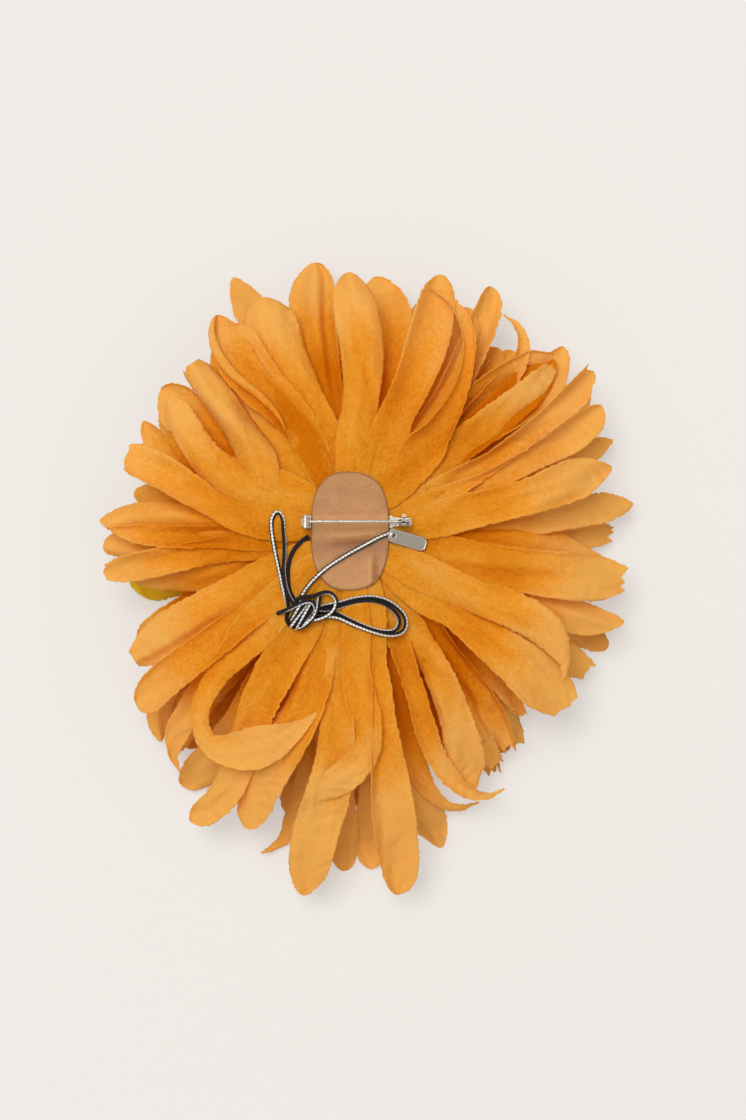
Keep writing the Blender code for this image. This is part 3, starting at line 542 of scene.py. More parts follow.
sprays = {"rear": [[
    petal((20, 2, 8), (34, 5, 10), (48, 8.5, 12, 0.5), (62, 12, 13, 1), (76, 17, 15, 1), (85, 20.3, 13, 0.5),
        (91.4, 22, 0), tip="soft", cup=14, right=(35, 0.7), roll=4, tone=0.62),
    petal((20, 5.5, 8, -0.3), (36, 11.5, 9, -1), (50, 18.8, 8.5, -2.5), (66, 27.8, 9.5, -3.5), (77, 34.8, 11.5, -4),
        (84, 40.2, 10, -4), (88, 43.4, 0, -4), cup=20, roll=-3, tone=0.66, crease=[(0.3, 60, 0.1)]),
    petal((22, 8, 7, -0.5), (40, 19, 8, -1), (54, 29, 8.5, -1.6), (67, 39, 9, -2), (76, 47, 10.5, -2.2),
        (84, 57, 5, -2.2), tip="blunt", jag=3, wave=0.8, cup=26, roll=-2, tone=0.7, crease=[(0.2, 60, 0.1)]),
], [
    petal((9.8, 20, 10), (14.8, 37, 11.5), (21, 50, 13, 0.4), (26, 62, 15, 0.8), (29.3, 73, 14.5, 1), (31, 82, 12, 1),
        (31.6, 89.4, 0, 0.5), cup=10, right=(110, 0.52), roll=-3, tone=0.55),
    petal((0.7, 20, 8.5, 0.1), (2.6, 37, 11.5, 0.1), (4, 52, 13.8, 0.5), (3.4, 66, 14.8, 1), (1.4, 78, 14.4, 0.7),
        (-0.2, 85, 12, 0.4), (-0.8, 90, 0), cup=-10, tone=0.6, left=(25, 0.75)),
    petal((17, 17, 9, 0.2), (25, 28, 12, 0.4), (32, 38.5, 10.5, 1.2), (36.8, 47, 7, 2.4), (39.6, 55, 5.6, 3.2),
        (40.8, 62.5, 5.4, 3.6), (40.2, 70, 5.4, 3.6), (37.2, 77, 4.6, 3.4), (32.8, 81.8, 3, 3.2), (27.6, 84.6, 0, 3),
        tip="point", cup=95, roll=12, wave=0.1),
], [
    petal((-14, 9, 3, -0.8), (-22, 13.5, 2.4, -0.8), (-27, 16.6, 3.5, 0.9), (-30.4, 21.4, 10, 1.9),
        (-34.6, 28.4, 12.6, 2.2), (-39.2, 35.2, 13.4, 2.4), (-44, 42.2, 13.8, 2.6), (-49.8, 50.2, 13.6, 2.2),
        (-54, 55.2, 12.6, 1.6), (-56, 57.8, 9.5, 1.2), tip="blunt", cup=-46, tone=0.68, jag=1.2,
        crease=[(0.1, -60, 0.2)]),
    petal((-18, 10, 13, 0.1), (-30, 12.6, 17, 0.3), (-42, 16.6, 16, 0.6), (-50.6, 23.4, 13.5, 1),
        (-56.4, 31.6, 12, 1.4), (-60.6, 39.4, 11.5, 1.4), (-63.4, 46.4, 0, 1), cup=-20, right=(-60, 0.7),
        left=(-40, 0.8), tone=0.6, crease=[(0.2, -50, 0.14)]),
    petal((-24, 2, 8, 0.1), (-40, 5.2, 8.4, -0.4), (-50.5, 10, 9.6, -0.6), (-60.8, 16.2, 11, -0.6),
        (-71, 22.2, 11.4, -0.4), (-75.6, 24.2, 10.6, -0.2), (-78.4, 25, 8.4), tip="blunt", jag=0.8, cup=20,
        left=(60, 0.7), roll=-5),
], [
    petal((-18, -10, 8), (-32, -17.5, 10.5, 0.2), (-44, -24.5, 13.5, 0.6), (-56, -32, 16, 1), (-66, -38.5, 16.5, 0.6),
        (-75.4, -44.6, 6, -0.4), tip="blunt", cup=12, roll=5, left=(20, 0.8), tone=0.56),
    petal((-20, -16, 8, 0.1), (-34, -28, 10, 0.1), (-46, -38, 11, 0.3), (-58, -47.5, 12, 0.6), (-66.5, -55, 12, 0.2),
        (-72.6, -63, 0, -0.6), cup=30, roll=-6, right=(40, 0.7), tone=0.52, crease=[(0.3, 40, 0.12)]),
    petal((-15, -15, 8, 0.2), (-26, -26.4, 12, 0.5), (-35.4, -37, 14, 1.2), (-45, -48.6, 9, 2.6),
        (-51.2, -59, 6.8, 3.6), (-52.2, -67, 6, 4.2), (-49.4, -73.6, 7, 4.8), (-42, -76.4, 11.5, 5),
        (-33, -75.4, 14.5, 4.6), (-25, -72.6, 14.5, 3.8), (-17.4, -68.4, 10.5, 3.2), (-10.6, -62.6, 0, 2.6),
        tip="point", cup=26, roll=4, tone=0.6, wave=0.25, right=(30, 0.75)),
], [
    petal((-1, -22, 8), (-2.4, -38, 9, 0.1), (-4, -55, 10.5, 0.4), (-4.6, -70, 12.5, 0.8), (-6, -84, 14.5, 1),
        (-9.4, -97, 15.5, 0.8), (-12.6, -110, 15.6), (-14.2, -118, 14, -0.8), (-15.6, -123.6, 10.4, -1.2),
        (-16.4, -127.2, 0, -1.5), cup=14, left=(20, 0.8), tone=0.72),
    petal((7, -22, 6, 0.1), (9, -36, 5, 0.1), (10, -50, 6, 0.3), (11.2, -66, 8.5, 0.5), (12, -82, 12.6, 0.6),
        (13.4, -98, 14.4, 0.2), (15.6, -113, 13.4, -0.4), (17.4, -126.6, 0, -1.2), cup=16, right=(40, 0.8),
        tone=0.68),
    petal((-7, -20, 9, 0.1), (-9.6, -36, 11, 0.1), (-12.6, -50, 12.4, 0.2), (-17, -63, 13.5, 0.2),
        (-24, -76, 15.5, -0.5), (-30, -87, 14.5, -1.5), (-33.4, -95.4, 12.4, -2.4), (-35.8, -103.8, 0, -3.2), cup=-14,
        roll=-6, left=(25, 0.85)),
    petal((-11, -20, 10, 0.3), (-18, -34, 13, 0.3), (-25, -47, 14.5, 0.4), (-31, -59.4, 13.5), (-35, -71, 12, -1),
        (-38.4, -81.4, 11, -2.6), (-43, -90.4, 10.6, -4), (-48.6, -96.6, 10, -4.6), (-55.6, -101.2, 0, -5), cup=18,
        roll=5, right=(30, 0.85)),
    petal((2, -26, 6, 0.5), (2, -40, 8.5, 0.8), (2.4, -51, 10, 1.1), (4.4, -61, 11, 1.7), (6, -70, 10.4, 2.4),
        (4.6, -78.4, 10.5, 3), (-1.4, -85, 12.5, 3.4), (-7.6, -89.6, 13, 3.2), (-13, -93.6, 8.5, 2.8),
        (-17, -97, 0, 2.2), tip="point", cup=22, roll=3, tone=0.62, wave=0.25, crease=[(0.1, -20, 0.2)]),
], [
    petal((24, -22, 8), (36, -29.5, 9.5, 0.1), (48, -38, 13.5, 0.3), (60, -46.5, 17, 0.4), (69, -54.4, 18, 0.2),
        (75.6, -61.6, 10, -0.4), tip="blunt", cup=16, right=(40, 0.72), roll=-5, jag=1.2, tone=0.55,
        crease=[(0.15, -26, 0.14)]),
    petal((20, -12, 9, 0.4), (34, -18.6, 10.5, 0.8), (46, -23.6, 12, 1.6), (58, -28.4, 12.5, 2.4),
        (67, -34, 12.5, 2.8), (72.4, -40.4, 10.5, 2.6), (74.8, -46.6, 7.5, 2), (74, -52.6, 0, 1), tip="point",
        cup=-30, right=(-30, 0.7), roll=4, tone=0.6),
]], "second": [[
    petal((18, 11, 8), (30, 24, 13, 0.1), (40, 35, 17.5, 0.3), (50, 44, 21, 0.5), (60, 50.6, 21.5, 0.8),
        (68, 55.6, 18, 1), (73, 60, 10, 1), (74.4, 64.4, 0, 1), cup=44, roll=3, left=(30, 0.82), right=(50, 0.8)),
    # a dark strip at a low tone: painted shade in the hollow of the cupped petal below it
    petal((24, 15, 7, 0.8), (36, 27, 10.5, 1.4), (48, 37, 13.4, 2.4), (58, 45.4, 14.6, 3), (66, 52.6, 12, 3.2),
        (70.2, 57.4, 6, 3.2), (71.2, 59.8, 0, 3), cup=40, tone=-0.45),
    petal((17, 9, 9, 1), (29, 20, 11, 1.8), (40, 30.2, 11.4, 3.2), (50, 38.6, 10.6, 4.8), (60, 46.8, 9.6, 5.8),
        (67, 53, 8, 5.8), (70.8, 57.6, 4.6, 5.2), tip="blunt", jag=1.5, cup=-10, right=(-20, 0.8), tone=0.62,
        wave=0.3),
    petal((14, 20, 9, -0.2), (21, 32, 14, 0.2), (28.6, 46, 16, 0.8), (34.4, 59, 15.5, 0.8), (38.6, 70, 12, 0.6),
        (41, 78, 0, 0.2), cup=14, roll=-8, tone=0.66),
    petal((17, 22, 8, -0.2), (30, 41, 11, -0.8), (38, 56, 12, -1), (44, 70, 12, -0.6), (47.6, 78.4, 10.5),
        (49.2, 85.2, 0, 0.4), cup=26, roll=6, tone=0.75, left=(30, 0.8)),
    petal((30, 27, 8, -1.6), (46, 43, 9.5, -1.4), (54.6, 53, 8, 0.5), (59.2, 60, 5.4, 2.4), (60.3, 66, 4, 3.6),
        (58.6, 70.8, 2.8, 4), (56.2, 73.6, 1.9, 4), (53.6, 75.4, 0, 4), tip="point", cup=70, roll=10, tone=0.52,
        wave=0.1),
], [
    petal((-5, 21, 7), (-9.8, 38, 8.5), (-17, 50.5, 13), (-23.5, 60.5, 17), (-27.2, 68, 19.4, 0.6),
        (-29.4, 75, 19.6, 0.6), (-30.8, 81.4, 0, 0.6), cup=-14, roll=3, tone=0.6, crease=[(0.1, -30, 0.2)]),
    petal((-9.5, 20, 7, -0.2), (-15.5, 33, 9, -0.2), (-22, 41, 11.5, 0.2), (-30, 48.6, 14, 0.8),
        (-37.9, 56, 18.4, 1.4), (-43.4, 63.4, 20, 1.8), (-46.2, 70.6, 16, 1.4), (-46.4, 75.4, 0, 1), cup=26,
        left=(120, 0.72), right=(20, 0.8), roll=3, tone=0.72),
    petal((-9.5, 20, 5, 0.1), (-16, 32.6, 7, 0.2), (-22.8, 40.4, 9, 0.9), (-30.2, 47, 11, 1.8), (-37, 54.4, 13, 2.8),
        (-41.2, 61.6, 13, 3.4), (-43.4, 67.6, 9.6, 3.2), (-44.2, 71.6, 0, 2.6), cup=22, roll=3, tone=0.3),
    petal((-12, 16, 9, -0.6), (-22, 29.5, 12, -0.8), (-31, 38, 13, -1), (-38, 45, 11, -1.4), (-43, 50, 0, -2),
        tone=0.56),
], [
    petal((-22, 0, 8, 0.3), (-38, 1.5, 10, 0.5), (-52, 4, 11, 1.2), (-66, 5.5, 13, 1.6), (-77, 5, 11.5, 1.4),
        (-87.4, 3.6, 0, 0.8), tip="soft", cup=-22, right=(-30, 0.7), tone=0.66),
    petal((-22, -1, 8, 0.1), (-40, -1.8, 8, 0.1), (-58, -1.8, 7.6, 0.1), (-74, -0.9, 7, 0.1), (-82, 0.4, 5, 0.1),
        (-86, 2, 0, 0.1), tip="point", cup=20, tone=0.44),
    petal((-22, -3, 8), (-40, -5.4, 9), (-56, -8, 9.5), (-70, -11, 9.5, 0.3), (-80, -13, 8.5, 0.3), (-86, -14.2, 5),
        tip="blunt", jag=1.6, cup=20, roll=-9, tone=0.56, crease=[(0, 30, 0.14)]),
], [
    petal((-22, -20, 7, -0.4), (-36, -36, 8, -0.8), (-48, -50, 8, -0.4), (-56, -62, 8.4, 0.4), (-60.4, -71, 8, 0.8),
        (-61.6, -78, 6, 0.8), (-59.4, -84, 0, 0.4), tip="point", cup=40, roll=-8, tone=0.58),
    petal((-10, -26, 8, -1), (-16, -44, 9, -1.8), (-22, -62, 9, -2.4), (-27, -78, 9, -3), (-31, -92, 9, -4),
        (-34, -102, 0, -5), cup=14, tone=0.4),
], [
    petal((13, -22, 8, 0.2), (21.6, -35, 8.8, 0.4), (29.2, -47.5, 10, 1.2), (34.6, -60, 11.4, 1.8),
        (38.4, -72, 12.6, 1.8), (40.4, -82, 13, 1.2), (42.8, -90, 6, 0.4), tip="blunt", jag=3, wave=0.6, cup=-26,
        tone=0.7, crease=[(0.25, 30, 0.12), (-0.45, -30, 0.1)]),
    petal((9, -24, 6, -0.2), (14.8, -34, 6.6, -0.2), (19.4, -46, 7.2, 0.2), (23.2, -58, 7.4, 0.8),
        (26.2, -69, 7.4, 1.4), (30.2, -79, 6.8, 2), (36, -87, 5.8, 2.4), (43, -91.9, 4, 2.6), (49, -92.3, 2.4, 2.6),
        (54, -90, 0, 2.4), tip="point", cup=55, roll=-8, wave=0.1, tone=0.56),
], [
    petal((20, -10, 8, -0.6), (38, -14, 9, -1.2), (54, -20, 10, -1.4), (68, -26, 12, -1.2), (80, -30, 12, -0.8),
        (88, -31.4, 10, -0.6), (95.6, -31.6, 0, -0.4), tip="soft", cup=24, roll=5, tone=0.62),
    petal((20, -6, 8, 0.2), (34, -8.4, 11, 0.3), (48, -11.5, 13.5, 0.8), (62, -14.2, 15.5, 1.2), (76, -16, 17.5, 1.2),
        (88, -16.8, 15.5, 0.8), (96.4, -17, 8, 0.2), tip="blunt", jag=2.8, wave=0.8, cup=10, left=(30, 0.8),
        tone=0.64, crease=[(-0.2, 24, 0.12)]),
]], "third": [[
    petal((22, 1, 7, 0.4), (50, 2.4, 10, 1), (66, 4.6, 11.2, 1.8), (80, 7.2, 11.6, 2.4), (90, 8.2, 10.6, 2.2),
        (98.8, 9.4, 0, 1.6), tip="soft", cup=-14, roll=-2, tone=1.1),
    petal((20, 0, 7, 0.6), (36, -0.4, 10, 1.4), (50, -1.2, 11, 2.4), (62, -1.8, 11.6, 3.2), (74, -5, 9, 3.6),
        (84, -8.4, 6, 3.6), (92.2, -11, 0, 3.4), tip="point", cup=30, roll=-4, tone=0.72),
    petal((22, 6, 7, -0.5), (45, 14, 8), (60, 18.6, 9), (75, 25, 10.5, 0.5), (85, 29.4, 9.4, 0.8),
        (91.8, 31.6, 0, 0.8), tip="soft", cup=20, tone=0.75),
], [
    petal((16, 18, 8, -1), (30, 36, 11, -1), (40, 49, 13), (47.6, 57.6, 12, 0.8), (52, 64, 0, 1), cup=24, tone=0.28),
    petal((22, 20, 7, -0.8), (38, 41, 9, -0.6), (50, 54, 10), (58, 62.6, 0, 0.4), cup=20, tone=0.3),
], [
    petal((5, 22, 7), (10, 44, 9), (12.8, 60, 11.5, 0.6), (12.6, 74, 17, 1), (10.6, 82, 16, 0.8), (9, 88.8, 0, 0.4),
        cup=24, right=(50, 0.7)),
    petal((-4, 22, 6, 0.4), (-7, 40, 9, 1), (-9, 54, 13.6, 1.8), (-11.2, 66, 16.4, 2.4), (-12, 75, 17, 2.4),
        (-12, 84, 15.4, 2), (-12, 93.8, 0, 1.2), cup=24, left=(50, 0.76),
        crease=[(0.05, -110, 0.09), (-0.5, 100, 0.1)]),
], [
    petal((-18, 12, 8, -0.4), (-34, 23, 9, -0.2), (-46, 33, 12, 0.6), (-55, 41, 15, 1), (-61, 46.4, 15, 0.8),
        (-66, 49.6, 0, 0.6), cup=24, right=(60, 0.7)),
    petal((-22, 9, 8), (-40, 17, 9), (-53, 26, 10.5), (-60, 33.6, 10), (-65.6, 41.4, 0), cup=14, tone=0.4),
], [
    petal((-22, -1, 8, 0.4), (-40, -2, 9, 0.8), (-58, -3.6, 10, 1.2), (-74, -5, 10, 1.4), (-86.4, -5.6, 0, 1), cup=18,
        tone=0.55),
    petal((-22, -14, 8), (-40, -27, 9), (-54, -40, 9, 0.4), (-62, -52, 9.4, 0.8), (-66.4, -63, 9, 0.8),
        (-67, -69, 6.8, 0.8), (-66, -73.6, 0, 0.6), tip="soft", cup=28, roll=-6, tone=0.62),
    petal((-22, -8, 8, 0.4), (-38, -13, 11, 0.8), (-52, -15.6, 11.5, 1), (-64, -16.2, 9.5, 1), (-74, -16, 6, 1),
        (-80, -15.6, 0, 1), tip="soft", cup=16, tone=0.75),
], [
    petal((-14, -16, 8), (-30, -34, 8), (-42, -48, 9), (-52, -60, 9), (-58, -70, 8), (-62, -77, 0), cup=34,
        tone=0.34),
    petal((-14, -20, 8, -0.4), (-26, -42, 9), (-34.4, -58, 10, 0.4), (-41.4, -70.6, 12, 0.8),
        (-47.8, -79.4, 13.6, 0.8), (-54, -85.4, 12, 0.6), (-59.2, -88.6, 0, 0.2), cup=16, roll=6, tone=0.55),
    petal((-20, -22, 7, 0.4), (-32, -37, 8, 0.8), (-43, -50.6, 7, 1), (-49, -60, 0, 1), cup=40, tone=0.3),
], [
    petal((-4, -24, 8, 0.6), (-5.4, -44, 10, 1.4), (-5.6, -60, 10.5, 2), (-5, -74, 12, 2), (-3.4, -90, 11, 1),
        (-1.6, -106, 10.5, 0.2), (-2, -118.8, 0, -0.4), cup=12, tone=1),
    petal((9, -24, 8, -0.4), (14, -46, 9, -0.8), (17, -64, 9.5, -0.6), (20.6, -80, 11), (25, -94, 12, 0.6),
        (28.8, -102.4, 12, 0.6), (31, -107.6, 8, 0.4), (32, -110.6, 0, 0.4), cup=20, roll=-5, tone=0.85),
    petal((5, -24, 7), (7, -50, 8), (8, -74, 9), (8, -92, 10, 0.4), (7.4, -106, 10.5, 0.4), (8, -118, 0), cup=12,
        tone=1),
], [
    petal((20, -20, 8, -1.4), (36, -33, 8.5, -1.8), (48, -44.4, 9.4, -1.4), (56, -54, 9, -0.6), (61, -63.6, 5, -0.2),
        tip="blunt", jag=2.6, cup=36, roll=5, wave=0.8, tone=0.55, crease=[(0.2, 70, 0.1)]),
    petal((18, -22, 7, -0.4), (32, -37, 8.5, -0.2), (43, -50, 10.4, 0.4), (50, -60, 11, 0.9), (54.8, -69.6, 9.4, 1.1),
        (57, -76.6, 5, 0.9), tip="blunt", jag=2.4, wave=0.8, cup=40, roll=4, tone=0.4,
        crease=[(0.1, 80, 0.1), (-0.4, -60, 0.1)]),
    petal((16, -23, 7, 0.8), (27, -38, 8.4, 1.2), (36.4, -52, 9, 2), (43, -65, 9, 2.8), (48.4, -75.6, 8.4, 2.8),
        (51.8, -82, 5, 2.4), tip="blunt", jag=2.4, wave=0.8, cup=36, roll=-4, tone=0.52, crease=[(0.3, -70, 0.1)]),
    petal((22, -14, 8), (44, -26, 9), (60, -34, 10), (72, -42, 11.5, 0.3), (79.4, -46.8, 10, 0.4),
        (83.6, -49.6, 6, 0.3), tip="blunt", jag=2.4, cup=18, tone=0.62),
    petal((11, -24, 7, 0.2), (15, -42, 9, 0.4), (18, -58, 10, 0.6), (20.4, -72, 9.6, 1.4), (24, -85, 8, 2.4),
        (30.4, -93.8, 4.6, 3), (37.6, -96.8, 2.8, 3.2), (45, -94.8, 0, 3.2), tip="point", cup=30, wave=0.1, tone=0.3),
]], "fourth": [[
    petal((20, 10, 8), (44, 24, 10), (62, 36, 12), (74, 44, 13), (84, 49, 0), cup=14, tone=0.45),
    petal((18, 16, 8), (38, 34, 10), (52, 47, 12), (62, 56, 12), (67, 61, 0), cup=16, tone=0.3),
], [
    petal((8, 22, 7), (15, 46, 8), (18.6, 62, 9), (21, 73, 9), (23.2, 79.4, 0), tip="point", cup=16),
    petal((0, 22, 7), (0, 46, 9), (0, 64, 11), (-1, 80, 0), cup=10, tone=0.35),
], [
    petal((-13, 16, 8), (-24, 31, 13), (-35, 46, 15), (-44, 58, 11), (-48, 63, 0), tone=0.2),
    petal((-6, 22, 7), (-10, 42, 9), (-14, 58, 11), (-17.6, 69, 11), (-20, 76, 0), cup=14, tone=0.4),
    petal((-12, 22, 7), (-22, 50, 9), (-30, 68, 12), (-35, 77, 12.5), (-41, 88.6, 0), tip="soft", cup=14, roll=8,
        tone=0.85),
], [
    petal((-22, 8, 7), (-46, 18, 8), (-59, 25, 9, 1), (-68, 32, 8.5, 1.5), (-72.4, 38.4, 0, 1.5), tip="soft", cup=22,
        tone=0.55),
    petal((-22, 4, 7), (-45, 8, 8), (-60, 10.8, 9, 1), (-70, 12.4, 8, 1.4), (-75.6, 13.4, 0, 1.4), cup=18, tone=0.45),
], [
    petal((-14, -20, 8), (-30, -40, 13), (-44, -58, 14), (-53, -70, 11), (-57, -76, 0), tone=0.2),
    petal((-22, -10, 8), (-44, -19, 9), (-58, -26.5, 9), (-68, -33, 9), (-74, -38, 0), cup=12, tone=0.4),
    petal((-18, -16, 8), (-36, -34, 9), (-48, -46, 10), (-58, -56, 11), (-64.6, -64, 0), cup=16, tone=0.34),
], [
    petal((-9, -23, 8), (-22, -48, 12), (-32, -66, 13), (-38, -80, 12), (-41, -88, 0), tone=0.2),
    petal((-5, -24, 8), (-11, -50, 9), (-15, -70, 10), (-19, -88, 10), (-21.6, -99, 0), cup=14, tone=1),
    petal((-4, -24, 8), (-8, -50, 9), (-11, -74, 9.5), (-15.4, -91, 9.5, 1.5), (-19.4, -101.6, 8.5, 2),
        (-23.4, -108, 6, 2.4), (-31, -112.8, 0, 2.4), tip="point", cup=18, roll=8, tone=0.6),
    petal((-1, -24, 8), (1, -52, 10), (2, -76, 11), (2, -96, 0), cup=10, tone=0.3),
], [
    petal((14, -22, 8), (28, -42, 13), (40, -58, 14), (50, -70, 12), (55, -77, 0), tone=0.25),
    # a strip at the deepest tone: painted shade in the gap between the petals around it
    petal((12, -24, 7), (22, -46, 8.6), (29.4, -62, 8.6), (34, -74, 7), (37, -82, 0), cup=10, tone=-0.9),
    petal((12, -22, 8), (24, -42, 9), (36, -60, 10), (45, -72, 11.5, 0.8), (49.6, -79, 9, 1), (51.4, -83.6, 5, 1),
        tip="blunt", jag=4, cup=30, wave=0.8, crease=[(0.1, 90, 0.08), (-0.5, -60, 0.1)]),
    petal((16, -20, 8), (32, -40, 10), (45, -57, 12, 0.6), (52, -67, 12, 1), (56.6, -76, 8, 1), tip="blunt", jag=3.6,
        cup=34, wave=0.8, crease=[(0, 90, 0.1), (0.5, -50, 0.1)]),
], [
    petal((22, -8, 7), (48, -18, 8), (66, -27, 10), (78, -34, 11), (86, -38.4, 9), (90.4, -40.4, 0), cup=16,
        wave=0.6),
    petal((22, -1, 7, 0.6), (44, -1.2, 10, 1.4), (62, -0.8, 11.5, 2), (78, -0.6, 11, 2.4), (87, -0.8, 9, 2.4),
        (91.6, -1, 5, 2.2), tip="blunt", jag=2.4, cup=14, tone=0.95),
]], "golden": [[
    spoke(10.5, 69, 19),
    spoke(34.5, 67, 19),
], [
    spoke(74.5, 68.5, 19),
    spoke(98.5, 69.5, 19),
], [
    spoke(136, 70, 19),
    spoke(159.5, 70.5, 19),
], [
    spoke(192.5, 83, 17),
    spoke(219.5, 71, 19),
], [
    spoke(257.5, 70, 19),
    spoke(282, 68.5, 19),
], [
    spoke(318, 70.5, 19),
    spoke(342.5, 67.5, 19),
]]}


def layerHeight(layer, radius):
    # level near the core, then falling as a power of the way out, down to the floor
    begin, full, power = petalMake["falls"]
    fallen = layers[layer]["fall"] * np.clip((radius - begin) / (full - begin), 0, None) ** power
    return np.maximum(layers[layer]["top"] - fallen, petalMake["lowest"])


def truePlaces(layer, line):
    # each point moves along the line of sight, from where it seems to lie in the hub's plane to its layer's height and
    # its lift, to a tenth of a mm; the height depends on the place, and five rounds settle it
    line, foot, above = np.array(line, float), np.array(view["from"][:2]), view["from"][2]
    place = line[:, :2]
    for again in range(5):
        level = layerHeight(layer, np.hypot(*place.T)) + line[:, 3]
        place = foot + (line[:, :2] - foot) * (1 - level / above)[:, None]
    return np.concatenate([np.round(place, 1), line[:, 2:]], 1)


def petalLine(line, tip):
    # rows follow a smooth curve through the points, begun where the petal is tied; the half width closes at the tip as
    # (1 - (1 - d / length) ** power) ** root for a distance d from the end
    make = petalMake
    points = np.array(line, float)
    far, wide = make["tied"]
    points = np.concatenate([[[*points[0, :2] * far / np.hypot(*points[0, :2]), wide, points[0, 3]]], points])
    closed = points[-1, 2] == 0
    if closed:
        points[-1, 2] = points[-2, 2] * 0.82
    fine = throughPoints(points * (1, 1, 0.5, 0.5), 400) * (1, 1, 2, 2)  # widths and lifts steer the curve less
    along = runOf(fine[:, :2])
    reach = along[-1]
    rows = int(np.clip(reach / make["rowStep"], *make["rows"]))
    run = reach * (1 - (1 - np.linspace(0, 1, rows)) ** make["drawn"])
    size, power, root = tips[tip]
    size = size * np.max(points[-3:, 2])
    closing = (1 - np.clip(1 - (reach - run) / size, 0, 1) ** power) ** root if closed else np.ones(rows)
    return np.stack([np.interp(run, along, fine[:, k]) for k in range(4)], 1), run, closing


def petalSection(p, bowl, v, halves, start, free, rng):
    # the section's slope is the running sum of its bends, so the cloth keeps its width: a cup over the whole of it,
    # curls from a place outwards, and creases as gaussians; then it is drawn out again to near its full width
    half = len(v) // 2
    bend = bowl * np.radians(p["cup"]) * start * np.ones((1, len(v)))
    for side, (degrees, where) in ((1, p["left"]), (-1, p["right"])):
        curl = smoothstep(where - 0.12, where + 0.06, side * v) / (1 - where)
        bend = bend + 2 * np.radians(degrees) * curl[None] * free
    creases = p["crease"] or [
        (rng.uniform(-0.5, 0.5), rng.choice([-1, 1]) * rng.uniform(14, 40), 0.13) for chance in range(2)]
    for where, degrees, breadth in creases:
        spot = bell(v, where, breadth) / (breadth * 0.886)  # 0.886: half a bell's area, so it turns by its degrees
        bend = bend + np.radians(degrees) * spot[None] * free
    slope = np.cumsum(bend, axis=1) * (v[1] - v[0]) / 2
    slope = slope - slope[:, half][:, None] + np.radians(p["roll"]) * start
    lateral = np.where(v[None] < 0, v[None] * halves[1][:, None], v[None] * halves[0][:, None])
    step, mid = np.diff(lateral, axis=1), (slope[:, 1:] + slope[:, :-1]) / 2
    edge = np.zeros((len(lateral), 1))
    flat, high = (np.concatenate([edge, np.cumsum(step * way(mid), 1)], 1) for way in (np.cos, np.sin))
    flat, high = (value - value[:, half][:, None] for value in (flat, high))
    spread = np.clip(halves.sum(0) / np.maximum(flat[:, -1] - flat[:, 0], 0.3), 1, 1.28)[:, None]
    return lateral, spread * flat, spread * high


def petalWaves(v, run, lateral, rng):
    # long waves that cross at any angle; crinkles, which come in patches; a ruffle that grows towards the edges
    run = run[:, None]
    waves = 0.9 * np.sin(run / 6.5 + v[None] + rng.uniform(0, 6))
    for long in petalMake["waves"]:
        turn, phase = rng.uniform(-0.32, 0.32), rng.uniform(0, 2 * math.pi)
        slanted = lateral * math.cos(turn) + run * math.sin(turn)
        waves = waves + long / 13 * np.sin(2 * math.pi * slanted / long + phase)
    turn, phase = rng.uniform(0.6, 1.4), rng.uniform(0, 2 * math.pi, 3)
    slanted = lateral * math.cos(turn) + run * math.sin(turn)
    patches = smoothstep(-0.3, 0.9, np.sin(run / 5.1 + phase[0]) * np.sin(lateral / 2.7 + phase[1] + run / 9))
    crinkle = patches * np.sin(2 * math.pi * slanted / 4.1 + phase[2] + 1.9 * np.sin(lateral / 2.3 + run / 4.7))
    ruffle = (v[None] ** 2) * np.sin(run / rng.uniform(3.2, 5) + np.where(v < 0, *rng.uniform(0, 6, 2))[None])
    return waves, crinkle, ruffle


